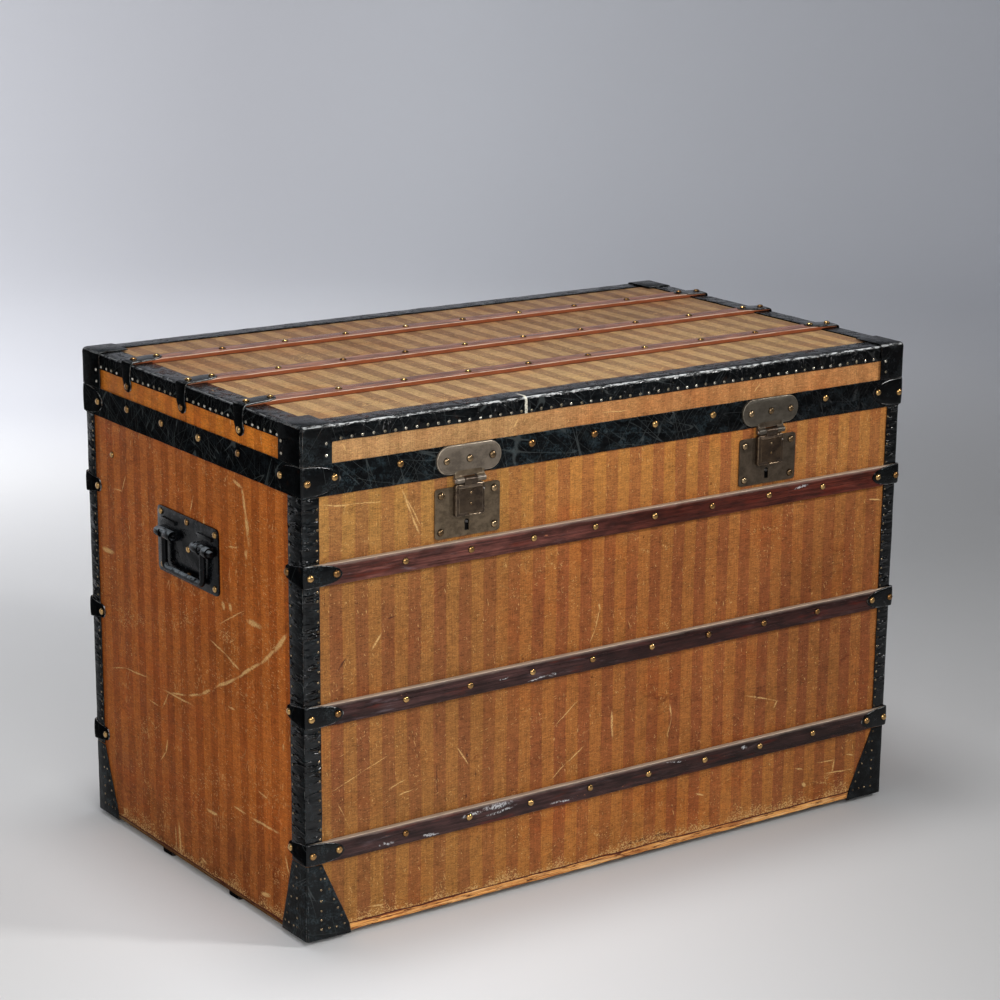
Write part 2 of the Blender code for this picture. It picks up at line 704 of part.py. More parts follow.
# ------------------------------------------------------------------- hinges
leaf_y = BODY_Y + GAP
lid_leaf_y = LID_Y + 2 * GAP + SHEET
third = HINGE_W / 3

for hand, cx in (("left", -HINGE_X), ("right", HINGE_X)):
    leaf = box("case_hinge_leaf_" + hand, (cx - HINGE_W / 2, leaf_y, 546.0),
               (cx + HINGE_W / 2, leaf_y + 2.0, HINGE_AXIS_Z - 4.0),
               material("case_hinge_leaf_" + hand, IRON, 0.45, 0.7))
    for n, side in (("a", -1), ("b", 1)):
        x0 = cx + side * (third / 2 + 0.35)
        x1 = cx + side * HINGE_W / 2
        low, high = min(x0, x1), max(x0, x1)
        boolean(leaf, box("hinge_web_%s_%s" % (hand, n),
                          (low, leaf_y, HINGE_AXIS_Z - HINGE_R),
                          (high, HINGE_AXIS_Y, HINGE_AXIS_Z - 1.2), None), "UNION")
        boolean(leaf, cylinder("hinge_barrel_%s_%s" % (hand, n),
                               (low, HINGE_AXIS_Y, HINGE_AXIS_Z),
                               (high, HINGE_AXIS_Y, HINGE_AXIS_Z), HINGE_R, None, 18), "UNION")
    boolean(leaf, cylinder("hinge_case_bore_" + hand,
                           (cx - HINGE_W, HINGE_AXIS_Y, HINGE_AXIS_Z),
                           (cx + HINGE_W, HINGE_AXIS_Y, HINGE_AXIS_Z),
                           HINGE_PIN_R + 0.1, None, 16), "DIFFERENCE")
    adopt(leaf, case_axis)

    pin = cylinder("hinge_pin_" + hand, (cx - HINGE_W / 2 - 1.5, HINGE_AXIS_Y, HINGE_AXIS_Z),
                   (cx + HINGE_W / 2 + 1.5, HINGE_AXIS_Y, HINGE_AXIS_Z), HINGE_PIN_R,
                   material("hinge_pin_" + hand, IRON, 0.4, 0.8), 16)
    adopt(pin, case_axis)

    leaf = box("lid_hinge_leaf_" + hand, (cx - HINGE_W / 2, lid_leaf_y, HINGE_AXIS_Z + 5.0),
               (cx + HINGE_W / 2, lid_leaf_y + 2.0, 638.0),
               material("lid_hinge_leaf_" + hand, IRON, 0.45, 0.7))
    boolean(leaf, box("hinge_lid_web_" + hand,
                      (cx - third / 2, lid_leaf_y, HINGE_AXIS_Z + 1.2),
                      (cx + third / 2, HINGE_AXIS_Y, HINGE_AXIS_Z + HINGE_R), None), "UNION")
    boolean(leaf, box("hinge_lid_neck_" + hand,
                      (cx - third / 2, lid_leaf_y, HINGE_AXIS_Z + 1.2),
                      (cx + third / 2, lid_leaf_y + 2.0, HINGE_AXIS_Z + 8.0), None), "UNION")
    boolean(leaf, cylinder("hinge_lid_barrel_" + hand,
                           (cx - third / 2, HINGE_AXIS_Y, HINGE_AXIS_Z),
                           (cx + third / 2, HINGE_AXIS_Y, HINGE_AXIS_Z), HINGE_R, None, 18), "UNION")
    boolean(leaf, cylinder("hinge_lid_bore_" + hand,
                           (cx - HINGE_W, HINGE_AXIS_Y, HINGE_AXIS_Z),
                           (cx + HINGE_W, HINGE_AXIS_Y, HINGE_AXIS_Z),
                           HINGE_PIN_R + 0.2, None, 16), "DIFFERENCE")
    adopt(leaf, lid_axis)


# ------------------------------------------------------------------ handles
for hand, s in (("left", -1), ("right", 1)):
    face = s * (BODY_X + GAP)
    mid_z = (HANDLE_Z0 + HANDLE_Z1) / 2
    plate = as_mesh(outline(
        "handle_plate_" + hand, rounded_rect(HANDLE_W, HANDLE_Z1 - HANDLE_Z0, 7.0),
        HANDLE_T, material("handle_plate_" + hand, BLACK, 0.35, 0.5), "YZ",
        (face + s * HANDLE_T / 2, HANDLE_Y, mid_z)))
    for n, t in (("a", -1), ("b", 1)):
        y0 = HANDLE_Y + t * LOOP_IN
        y1 = HANDLE_Y + t * LOOP_OUT
        low, high = min(y0, y1), max(y0, y1)
        # Stop ridge above the loop.
        ridge_x = sorted((face + s * 1.0, face + s * (HANDLE_T + 3.0)))
        boolean(plate, box("stop_ridge_%s_%s" % (hand, n),
                           (ridge_x[0], low + 1, BAIL_AXIS_Z + 14.5),
                           (ridge_x[1], high - 1, BAIL_AXIS_Z + 19.5), None), "UNION")
        # Loop: a barrel blended back into the plate.
        boolean(plate, cylinder("loop_barrel_%s_%s" % (hand, n),
                                (s * BAIL_AXIS_X, low, BAIL_AXIS_Z),
                                (s * BAIL_AXIS_X, high, BAIL_AXIS_Z), LOOP_R, None, 20), "UNION")
        root_x = sorted((face + s * 1.0, s * BAIL_AXIS_X))
        boolean(plate, box("loop_root_%s_%s" % (hand, n),
                           (root_x[0], low, BAIL_AXIS_Z - LOOP_R + 0.6),
                           (root_x[1], high, BAIL_AXIS_Z + LOOP_R - 0.1), None), "UNION")
        # Slot that the bail's arm swings in, open below and in front.
        arm = HANDLE_Y + t * BAIL_ARM_Y
        slot_x = sorted((face + s * (HANDLE_T + 0.4), s * (BAIL_AXIS_X + 12)))
        boolean(plate, box("arm_slot_%s_%s" % (hand, n),
                           (slot_x[0], arm - 6.0, BAIL_AXIS_Z - 12),
                           (slot_x[1], arm + 6.0, BAIL_AXIS_Z + 5.2), None), "DIFFERENCE")
        boolean(plate, cylinder("loop_bore_%s_%s" % (hand, n),
                                (s * BAIL_AXIS_X, low - 5, BAIL_AXIS_Z),
                                (s * BAIL_AXIS_X, high + 5, BAIL_AXIS_Z),
                                BAIL_ROD_R + 0.35, None, 20), "DIFFERENCE")
    adopt(plate, case_axis)

    # Bail: a rod bent down from each loop and across, with its ends turned
    # outwards through the loops.
    bail_axis = empty("bail_axis_" + hand, (s * BAIL_AXIS_X, HANDLE_Y, BAIL_AXIS_Z))
    adopt(bail_axis, case_axis)
    turn, reach = 8.0, LOOP_OUT + 5.5
    half = [(reach, 0.0), (BAIL_ARM_Y + 5.0, 0.0)]
    for i in range(1, 4):
        a = math.pi / 2 * i / 3
        half.append((BAIL_ARM_Y + 5.0 - 5.0 * math.sin(a), -5.0 + 5.0 * math.cos(a)))
    for i in range(0, 5):
        a = math.pi / 2 * i / 4
        half.append((BAIL_ARM_Y - turn + turn * math.cos(a),
                     -BAIL_DROP + turn - turn * math.sin(a)))
    route = half + [(-u, v) for u, v in reversed(half)]
    curve = bpy.data.curves.new("handle_bail_" + hand, "CURVE")
    curve.dimensions = "3D"
    curve.bevel_depth = BAIL_ROD_R * MM
    curve.bevel_resolution = 3
    curve.use_fill_caps = True
    spline = curve.splines.new("POLY")
    spline.points.add(len(route) - 1)
    for point, (u, v) in zip(spline.points, route):
        point.co = (0.0, u * MM, v * MM, 1.0)
    bail = bpy.data.objects.new("handle_bail_" + hand, curve)
    curve.materials.append(material("handle_bail_" + hand, BLACK, 0.35, 0.5))
    link(bail)
    bail.parent = bail_axis


# ------------------------------------------------------------------ lid stays
def bar_length(a, b):
    return math.hypot(b[0] - a[0], b[1] - a[1])


for hand, s in (("left", -1), ("right", 1)):
    def at(point, x):
        return (s * x, HINGE_AXIS_Y + point[0], HINGE_AXIS_Z + point[1])

    case_wall = BODY_X - BOARD
    lid_wall = LID_X - BOARD
    lower_x1 = case_wall - 0.9          # outer face of the lower link
    lower_x0 = lower_x1 - STAY_T
    upper_x1 = lower_x0 - 0.5           # the upper link lies inboard of it
    upper_x0 = upper_x1 - STAY_T

    # Lower link, pivoted on the case, with the elbow pin.
    stay_axis = empty("stay_lower_axis_" + hand, at(STAY_CASE, lower_x1))
    adopt(stay_axis, case_axis)
    lower = as_mesh(outline(
        "stay_lower_" + hand, capsule(*STAY_CASE, *STAY_ELBOW, STAY_W / 2), STAY_T,
        material("stay_lower_" + hand, BRONZE, 0.4, 0.9), "YZ",
        (s * (lower_x0 + lower_x1) / 2, HINGE_AXIS_Y, HINGE_AXIS_Z)))
    boolean(lower, cylinder("stay_case_rivet_" + hand, at(STAY_CASE, lower_x0 - 1.6),
                            at(STAY_CASE, case_wall - GAP), 5.0, None, 16), "UNION")
    boolean(lower, cylinder("stay_elbow_pin_" + hand, at(STAY_ELBOW, upper_x0 - 1.2),
                            at(STAY_ELBOW, lower_x0 + 1.0), STAY_PIN_R, None, 14), "UNION")
    adopt(lower, stay_axis)

    # Upper link, pivoted on the lid, with the elbow eye.
    stay_axis = empty("stay_upper_axis_" + hand, at(STAY_LID, upper_x1))
    adopt(stay_axis, lid_axis)
    upper = as_mesh(outline(
        "stay_upper_" + hand, capsule(*STAY_LID, *STAY_ELBOW, STAY_W / 2), STAY_T,
        material("stay_upper_" + hand, BRONZE, 0.4, 0.9), "YZ",
        (s * (upper_x0 + upper_x1) / 2, HINGE_AXIS_Y, HINGE_AXIS_Z)))
    boolean(upper, cylinder("stay_lid_rivet_" + hand, at(STAY_LID, upper_x0 - 1.6),
                            at(STAY_LID, lid_wall - GAP), 5.0, None, 16), "UNION")
    boolean(upper, cylinder("stay_elbow_eye_" + hand, at(STAY_ELBOW, upper_x0 - 3),
                            at(STAY_ELBOW, upper_x1 + 0.3), STAY_PIN_R + 0.6, None, 16), "DIFFERENCE")
    adopt(upper, stay_axis)

bpy.context.view_layer.update()
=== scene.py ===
import math
import random

import bmesh
import bpy
from mathutils import Matrix, Vector, noise


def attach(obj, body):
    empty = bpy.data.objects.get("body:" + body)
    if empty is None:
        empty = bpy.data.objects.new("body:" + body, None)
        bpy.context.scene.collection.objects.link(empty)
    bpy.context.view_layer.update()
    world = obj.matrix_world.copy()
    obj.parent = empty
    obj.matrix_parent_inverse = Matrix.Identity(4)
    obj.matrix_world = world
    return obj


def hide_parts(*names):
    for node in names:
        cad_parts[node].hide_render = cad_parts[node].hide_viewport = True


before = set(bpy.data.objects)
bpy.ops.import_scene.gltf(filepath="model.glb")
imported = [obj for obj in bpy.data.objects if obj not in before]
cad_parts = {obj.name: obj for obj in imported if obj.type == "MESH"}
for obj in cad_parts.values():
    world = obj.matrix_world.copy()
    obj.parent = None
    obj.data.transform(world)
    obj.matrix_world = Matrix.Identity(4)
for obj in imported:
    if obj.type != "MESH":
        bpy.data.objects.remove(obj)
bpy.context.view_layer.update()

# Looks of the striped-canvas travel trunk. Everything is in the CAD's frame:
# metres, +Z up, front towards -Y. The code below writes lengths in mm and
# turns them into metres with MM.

MM = 0.001
rng = random.Random(7)

# ------------------------------------------------- sizes shared with the CAD
BODY_X, BODY_Y = 498.2, 293.7
LID_X, LID_Y = 499.2, 294.7
BOARD = 10.0
CASE_Z0, CASE_Z1 = 8.8, 600.4
LID_Z0, LID_Z1 = 601.0, 689.7
TRIM_X, TRIM_Y = 500.0, 295.5          # outer faces of the case's trim
BAND_X, BAND_Y = 501.0, 296.5          # outer faces of the lid's trim
BAND_Z = (600.9, 641.6)
SLAT_Z = (500.2, 314.8, 129.2)
LID_SLAT_Y = (-143.5, 9.5, 163.5)
LOCK_X, LOCK_Z = 252.5, 552.4
RUNNER_Y = 94.0
HINGE_X, HINGE_Y, HINGE_Z = 300.0, 302.0, 600.7


# ------------------------------------------------------------ node materials
def display(r, g, b):
    """A display colour, 0 to 255 a channel, as a linear colour."""
    def linear(c):
        c /= 255.0
        return c / 12.92 if c <= 0.04045 else ((c + 0.055) / 1.055) ** 2.4
    return (linear(r), linear(g), linear(b), 1.0)


class Tree:
    """A material's node tree, built from short calls. place is the object
    position in mm, which moves with the piece."""

    def __init__(self, name):
        self.mat = bpy.data.materials.new(name)
        self.mat.use_nodes = True
        self.nodes = self.mat.node_tree.nodes
        self.links = self.mat.node_tree.links
        self.nodes.clear()
        out = self.nodes.new("ShaderNodeOutputMaterial")
        self.shader = self.nodes.new("ShaderNodeBsdfPrincipled")
        self.links.new(self.shader.outputs[0], out.inputs[0])
        coord = self.nodes.new("ShaderNodeTexCoord")
        self.place = self.v("SCALE", coord.outputs["Object"], scale=1000.0)
        self.facing = coord.outputs["Normal"]

    def put(self, socket, value):
        if isinstance(value, bpy.types.NodeSocket):
            self.links.new(value, socket)
        elif value is not None:
            socket.default_value = value

    def m(self, op, a, b=None, c=None, clamp=False):
        node = self.nodes.new("ShaderNodeMath")
        node.operation = op
        node.use_clamp = clamp
        for socket, value in zip(node.inputs, (a, b, c)):
            self.put(socket, value)
        return node.outputs[0]

    def v(self, op, a, b=None, scale=None):
        node = self.nodes.new("ShaderNodeVectorMath")
        node.operation = op
        self.put(node.inputs[0], a)
        self.put(node.inputs[1], b)
        if scale is not None:
            self.put(node.inputs["Scale"], scale)
        return node.outputs["Value" if op in ("LENGTH", "DISTANCE") else "Vector"]

    def split(self, vector):
        node = self.nodes.new("ShaderNodeSeparateXYZ")
        self.put(node.inputs[0], vector)
        return node.outputs[:]

    def join(self, x=0.0, y=0.0, z=0.0):
        node = self.nodes.new("ShaderNodeCombineXYZ")
        for socket, value in zip(node.inputs, (x, y, z)):
            self.put(socket, value)
        return node.outputs[0]

    def step(self, value, low, high, to_low=0.0, to_high=1.0):
        """A soft threshold from low to high."""
        node = self.nodes.new("ShaderNodeMapRange")
        node.interpolation_type = "SMOOTHSTEP"
        for socket, given in zip(node.inputs, (value, low, high, to_low, to_high)):
            self.put(socket, given)
        return node.outputs[0]

    def size(self, where, size):
        if isinstance(size, tuple):
            return self.v("MULTIPLY", where, tuple(1.0 / s for s in size))
        return self.v("SCALE", where, scale=1.0 / size)

    def noise(self, where, size, detail=2.0, rough=0.5, shift=0.0, colour=False):
        """Noise with features about size mm across, around 0.5."""
        if shift:
            where = self.v("ADD", where, (shift, shift * 0.7, shift * 1.3))
        node = self.nodes.new("ShaderNodeTexNoise")
        node.noise_dimensions = "3D"
        self.put(node.inputs["Vector"], self.size(where, size))
        self.put(node.inputs["Scale"], 1.0)
        self.put(node.inputs["Detail"], detail)
        self.put(node.inputs["Roughness"], rough)
        return node.outputs["Color" if colour else "Fac"]

    def cells(self, where, size, feature="F1", out="Distance"):
        node = self.nodes.new("ShaderNodeTexVoronoi")
        node.feature = feature
        self.put(node.inputs["Vector"], self.size(where, size))
        self.put(node.inputs["Scale"], 1.0)
        return node.outputs[out]

    def mix(self, fac, a, b, blend="MIX"):
        node = self.nodes.new("ShaderNodeMix")
        node.data_type = "RGBA"
        node.blend_type = blend
        node.clamp_factor = True
        for index, value in ((0, fac), (6, a), (7, b)):
            self.put(node.inputs[index], value)
        return node.outputs[2]

    def turn(self, where, degrees):
        node = self.nodes.new("ShaderNodeVectorRotate")
        node.rotation_type = "Z_AXIS"
        self.put(node.inputs["Vector"], where)
        self.put(node.inputs["Angle"], math.radians(degrees))
        return node.outputs[0]

    def warp(self, where, size, amount, shift=0.0):
        """where, pushed about by up to amount mm."""
        push = self.v("SUBTRACT", self.noise(where, size, 2.0, 0.5, shift, True), (0.5, 0.5, 0.5))
        return self.v("ADD", where, self.v("SCALE", push, scale=2.0 * amount))

    def scratches(self, where, degrees, length, spacing, width, share, seed):
        """Fine broken lines at an angle: share of them shows, 0 to 1."""
        turned = self.turn(where, degrees)
        lines = self.noise(turned, (length, spacing, 1e4), 0.0, 0.0, seed * 37.0)
        off = self.m("ABSOLUTE", self.m("SUBTRACT", lines, 0.5))
        line = self.step(off, 0.6 * width / spacing, 0.08 * width / spacing)
        gaps = self.noise(turned, (length * 0.55, spacing * 1.7, 1e4), 1.0, 0.5, seed * 91.0 + 400.0)
        return self.m("MULTIPLY", line, self.step(gaps, 1.02 - 0.5 * share - 0.28, 1.08 - 0.5 * share - 0.28))

    def strokes(self, flat, marks):
        """Scaled distance to the nearest mark; each is (u0, v0, u1, v1, width)."""
        nearest = None
        for u0, v0, u1, v1, width in marks:
            node = self.nodes.new("ShaderNodeMapping")
            node.vector_type = "TEXTURE"
            self.put(node.inputs["Vector"], flat)
            node.inputs["Location"].default_value = ((u0 + u1) / 2, (v0 + v1) / 2, 0.0)
            node.inputs["Rotation"].default_value = (0.0, 0.0, math.atan2(v1 - v0, u1 - u0))
            half = math.hypot(u1 - u0, v1 - v0) / 2 + width / 2
            node.inputs["Scale"].default_value = (half, width / 2, 1.0)
            away = self.v("LENGTH", node.outputs[0])
            nearest = away if nearest is None else self.m("MINIMUM", nearest, away)
        return nearest

    def bump(self, height, depth, normal=None, strength=1.0):
        """A bump of height 0 to 1, depth mm deep."""
        node = self.nodes.new("ShaderNodeBump")
        node.inputs["Strength"].default_value = strength
        node.inputs["Distance"].default_value = depth * MM
        self.put(node.inputs["Height"], height)
        if normal is not None:
            self.put(node.inputs["Normal"], normal)
        return node.outputs[0]

    def shaded(self, colour, shades):
        """colour, multiplied along an axis; each is (axis, from, to, factors)."""
        axes = dict(zip("xyz", self.split(self.place)))
        for axis, start, end, factors in shades:
            far = self.v("MULTIPLY", colour, factors)
            colour = self.mix(self.step(axes[axis], start, end), colour, far)
        return colour

    def attribute(self, name):
        node = self.nodes.new("ShaderNodeAttribute")
        node.attribute_name = name
        return node.outputs["Fac"]

    def finish(self, colour, rough, normal=None, **constants):
        self.put(self.shader.inputs["Base Color"], colour)
        self.put(self.shader.inputs["Roughness"], rough)
        if normal is not None:
            self.put(self.shader.inputs["Normal"], normal)
        for name, value in constants.items():
            self.shader.inputs[name.replace("_", " ")].default_value = value
        return self.mat


STRAW = display(212, 172, 112)
LINING = display(196, 176, 140)
BARE = display(236, 172, 98)


def canvas(name, along, light, dark, period, dark_at, inside, seed, contrast=1.0, marks=(),
           darks=(), stains=(), haze=(), rub=0.5, foot=None, scratch=0.5, dirt=1.0, zone=None, shades=(), mirror=0.16, fleck=0.5,
           bare=1.0):
    """Striped woven canvas on a wooden board. along is the axis that the
    stripes follow one another on; inside is (axis, value, sign) beyond which
    the board's face is its paper lining. zone keeps the marks of one height
    range, so that a big face can share them out between two materials."""
    if zone is not None:
        marks, darks, stains, haze = (
            tuple(m for m in group if max(m[1], m[3]) + m[4] > zone[0] and min(m[1], m[3]) - m[4] < zone[1])
            for group in (marks, darks, stains, haze))
    t = Tree(name)
    x, y, z = t.split(t.place)
    u = {"x": x, "y": y}[along]
    vert = y if inside[0] == "z" else z
    flat = t.join(u, vert, 0.0)
    loose = t.v("ADD", flat, (0.0, 0.0, seed * 53.0))

    # Stripes, with edges that wander by a thread or two.
    wander = t.m("MULTIPLY", t.m("SUBTRACT", t.noise(loose, (2.2, 20.0, 1.0), 2.0), 0.5), 2.6)
    drift = t.m("MULTIPLY", t.m("SUBTRACT", t.noise(loose, (90.0, 150.0, 1.0), 1.0, 0.5, 5.0), 0.5), 6.0)
    turns = t.m("DIVIDE", t.m("SUBTRACT", t.m("ADD", u, t.m("ADD", wander, drift)), dark_at), period)
    wave = t.m("COSINE", t.m("MULTIPLY", turns, 2 * math.pi))
    stripe = t.step(wave, -0.16, 0.22)
    border = t.step(t.m("ABSOLUTE", t.m("SUBTRACT", wave, 0.10)), 0.30, 0.0)
    faded = t.step(t.noise(loose, (110.0, 160.0, 1.0), 3.0, 0.6, 11.0), 0.32, 0.62, 0.62, 1.0)
    stripe = t.m("MULTIPLY", t.m("MULTIPLY", stripe, faded), contrast)
    colour = t.mix(stripe, light, dark)
    colour = t.mix(t.m("MULTIPLY", border, 0.10 * contrast), colour, t.mix(1.0, dark, display(226, 180, 180), "MULTIPLY"))

    # Yarn: streaks along the warp, short slubs across, and the weave itself.
    warp_streak = t.noise(loose, (1.6, 60.0, 1.0), 3.0, 0.6, 3.0)
    slub = t.noise(loose, (6.5, 1.3, 1.0), 3.0, 0.65, 5.0)
    speck = t.noise(loose, (2.0, 1.7, 1.0), 3.0, 0.7, 7.0)
    mottled = t.noise(loose, (12.0, 9.0, 1.0), 3.0, 0.6, 9.0)
    value = t.m("ADD", t.m("ADD", t.m("MULTIPLY", warp_streak, 0.90), t.m("MULTIPLY", mottled, 0.65)),
                t.m("ADD", t.m("MULTIPLY", slub, 1.55), t.m("MULTIPLY", speck, 1.60)))
    value = t.m("MAXIMUM", t.m("SUBTRACT", value, 1.355), 0.25)
    big = t.noise(loose, (150.0, 190.0, 1.0), 4.0, 0.55, 17.0)
    value = t.m("MULTIPLY", value, t.m("ADD", t.m("MULTIPLY", big, 0.50), 0.75))
    colour = t.v("SCALE", colour, scale=value)

    # On some faces these shades are painted shade.
    colour = t.shaded(colour, shades)

    # Rusty and olive tints in large patches, as old varnish goes.
    warm = t.step(t.noise(loose, (95.0, 75.0, 1.0), 3.0, 0.6, 29.0), 0.48, 0.74)
    colour = t.mix(t.m("MULTIPLY", warm, 0.55), colour, t.mix(1.0, colour, display(255, 226, 204), "MULTIPLY"))
    cool = t.step(t.noise(loose, (120.0, 90.0, 1.0), 3.0, 0.6, 41.0), 0.50, 0.78)
    colour = t.mix(t.m("MULTIPLY", cool, 0.40), colour, t.mix(1.0, colour, display(214, 222, 206), "MULTIPLY"))

    # Dark specks, small blots and soot.
    blot = t.step(t.cells(t.warp(loose, 4.0, 1.6), 36.0), 0.060, 0.030)
    blot = t.m("MULTIPLY", blot, t.step(t.noise(loose, 70.0, 2.0, 0.5, 53.0), 0.5, 0.56))
    soot = t.m("MULTIPLY", t.step(t.noise(loose, (18.0, 26.0, 1.0), 4.0, 0.72, 59.0), 0.56, 0.78), 0.45 * dirt)
    colour = t.mix(t.m("MAXIMUM", t.m("MULTIPLY", blot, 0.75), soot), colour,
                   t.mix(1.0, colour, display(146, 116, 98), "MULTIPLY"))
    if stains:
        away = t.strokes(t.warp(t.warp(flat, 60.0, 20.0, seed), 12.0, 4.0, seed + 2.0), stains)
        colour = t.mix(t.step(away, 1.3, 0.0, 0.0, 0.50), colour,
                       t.mix(1.0, colour, display(176, 118, 92), "MULTIPLY"))
    rag = t.warp(t.warp(flat, 5.0, 0.9, seed), 34.0, 2.2, seed + 5.0)
    if darks:
        colour = t.mix(t.step(t.strokes(rag, darks), 1.15, 0.35, 0.0, 0.80), colour, display(66, 34, 26))

    # Scuffed nap: clouds of small pale chips, thickest where it rubs.
    chips = t.noise(loose, (2.9, 2.3, 1.0), 4.0, 0.75, 71.0)
    cloud = t.step(t.noise(loose, (60.0, 46.0, 1.0), 3.0, 0.6, 73.0), 0.42, 0.72)
    rubbed = t.m("MULTIPLY", cloud, 0.34 * rub)
    if haze:
        soft = t.step(t.strokes(t.warp(flat, 18.0, 5.0, seed + 9.0), haze), 1.5, 0.0, 0.0, 0.92)
        rubbed = t.m("MAXIMUM", rubbed, soft)
    if foot is not None:
        reach = t.m("MULTIPLY", t.step(t.noise(loose, (46.0, 1e4, 1.0), 4.0, 0.65, 79.0), 0.34, 0.74), 44.0)
        high = t.m("DIVIDE", t.m("SUBTRACT", vert, foot), t.m("ADD", reach, 5.0))
        rubbed = t.m("MAXIMUM", rubbed, t.step(high, 1.25, 0.05, 0.0, 1.02))
    chalk = t.noise(loose, (2.4, 2.4, 1.0), 2.0, 0.7, 83.0)
    level = t.m("SUBTRACT", 0.765, t.m("MULTIPLY", rubbed, 0.27))
    level = t.m("ADD", level, t.m("MULTIPLY", t.m("SUBTRACT", chalk, 0.5), 0.45))
    pale = t.step(chips, level, t.m("ADD", level, 0.045), 0.0, 0.80)

    # Scratches every way, and the long ones that stand out.
    bent = t.warp(flat, 30.0, 5.0, seed * 3.0)
    fine = None
    for n, (degrees, length, spacing, width) in enumerate((
        (24.0, 80.0, 40.0, 0.9), (-37.0, 60.0, 36.0, 0.8), (66.0, 70.0, 44.0, 0.8), (-80.0, 90.0, 50.0, 0.9),
    )):
        layer = t.scratches(bent, degrees + seed * 7.0, length, spacing, width, scratch, seed + n)
        fine = layer if fine is None else t.m("MAXIMUM", fine, layer)
    fine = t.m("MULTIPLY", fine, t.step(chalk, 0.42, 0.64, 0.0, 0.34))
    pale = t.m("MAXIMUM", pale, fine)
    # Small flecks and nicks, lying two ways and gathered in drifts.
    for degrees, shift in ((68.0, 131.0), (-24.0, 137.0)):
        nicks = t.noise(t.turn(loose, degrees + seed * 5.0), (7.5, 1.5, 1.0), 1.0, 0.5, shift)
        drift_in = t.step(t.noise(loose, (50.0, 60.0, 1.0), 3.0, 0.6, shift + 2.0), 0.46, 0.70, 0.0, 0.10 * fleck)
        nicks = t.step(nicks, t.m("SUBTRACT", 0.735, drift_in), t.m("SUBTRACT", 0.760, drift_in), 0.0, 0.75)
        pale = t.m("MAXIMUM", pale, nicks)
    if marks:
        chalky = t.step(chalk, 0.34, 0.54, 0.25, 1.0)
        pale = t.m("MAXIMUM", pale, t.m("MULTIPLY", t.step(t.strokes(rag, marks), 1.22, 0.52), chalky))
    colour = t.mix(t.m("MULTIPLY", pale, 0.86), colour, STRAW)

    rough = t.m("ADD", 0.44, t.m("MULTIPLY", t.noise(loose, 26.0, 4.0, 0.6, 89.0), 0.26))
    rough = t.m("ADD", rough, t.m("MULTIPLY", pale, 0.20))

    if foot is not None:
        # Below a thin dark line the cloth has worn off the board's edge.
        edge = t.m("ADD", vert, t.m("MULTIPLY", t.m("SUBTRACT", t.noise(loose, (55.0, 9.0, 1.0), 4.0, 0.6, 97.0), 0.5), 5.0))
        grain = t.noise(loose, (60.0, 1.5, 1.0), 4.0, 0.6, 101.0)
        wood = t.mix(t.step(grain, 0.36, 0.62), display(158, 92, 48), BARE)
        gouge = t.step(t.noise(loose, (26.0, 3.0, 1.0), 4.0, 0.75, 103.0), 0.53, 0.62)
        wood = t.mix(gouge, wood, display(92, 50, 28))
        pale_wood = t.step(t.noise(loose, (70.0, 5.0, 1.0), 4.0, 0.7, 105.0), 0.52, 0.66)
        wood = t.mix(t.m("MULTIPLY", pale_wood, 0.7), wood, display(250, 204, 140))
        wood = t.v("SCALE", wood, scale=bare)
        colour = t.mix(t.step(edge, foot + 1.4, foot + 0.2), colour, display(74, 26, 18))
        colour = t.mix(t.step(edge, foot - 0.9, foot - 1.7), colour, wood)
        colour = t.mix(t.step(edge, foot - 8.8, foot - 10.4), colour, display(60, 36, 22))

    # The inner face is paper on bare wood.
    axis, value_in, sign = inside
    side = {"x": x, "y": y, "z": z}[axis]
    within = t.step(t.m("MULTIPLY", t.m("SUBTRACT", side, value_in), sign), -0.4, 0.4)
    paper = t.mix(t.step(t.noise(t.place, 120.0, 5.0, 0.6, 107.0), 0.30, 0.80), LINING, display(180, 156, 118))
    paper = t.mix(t.step(t.noise(t.place, 7.0, 4.0, 0.75, 109.0), 0.62, 0.78, 0.0, 0.5), paper, display(112, 84, 52))
    colour = t.mix(within, colour, paper)

    thread = 1.15
    over = t.m("SINE", t.m("MULTIPLY", u, math.pi / thread))
    under = t.m("SINE", t.m("MULTIPLY", vert, math.pi / thread))
    weave = t.m("ADD", t.m("MULTIPLY", t.m("MULTIPLY", over, under), 0.5), 0.5)
    relief = t.m("ADD", t.m("MULTIPLY", weave, 0.30), t.m("MULTIPLY", slub, 0.9))
    relief = t.m("SUBTRACT", t.m("ADD", relief, t.m("MULTIPLY", speck, 0.5)), t.m("MULTIPLY", pale, 0.55))
    normal = t.bump(t.noise(loose, (130.0, 90.0, 1.0), 2.0, 0.5, 113.0), 2.4, strength=0.35)
    normal = t.bump(relief, 0.16, normal, 0.8)
    return t.finish(colour, rough, normal, Specular_IOR_Level=mirror)


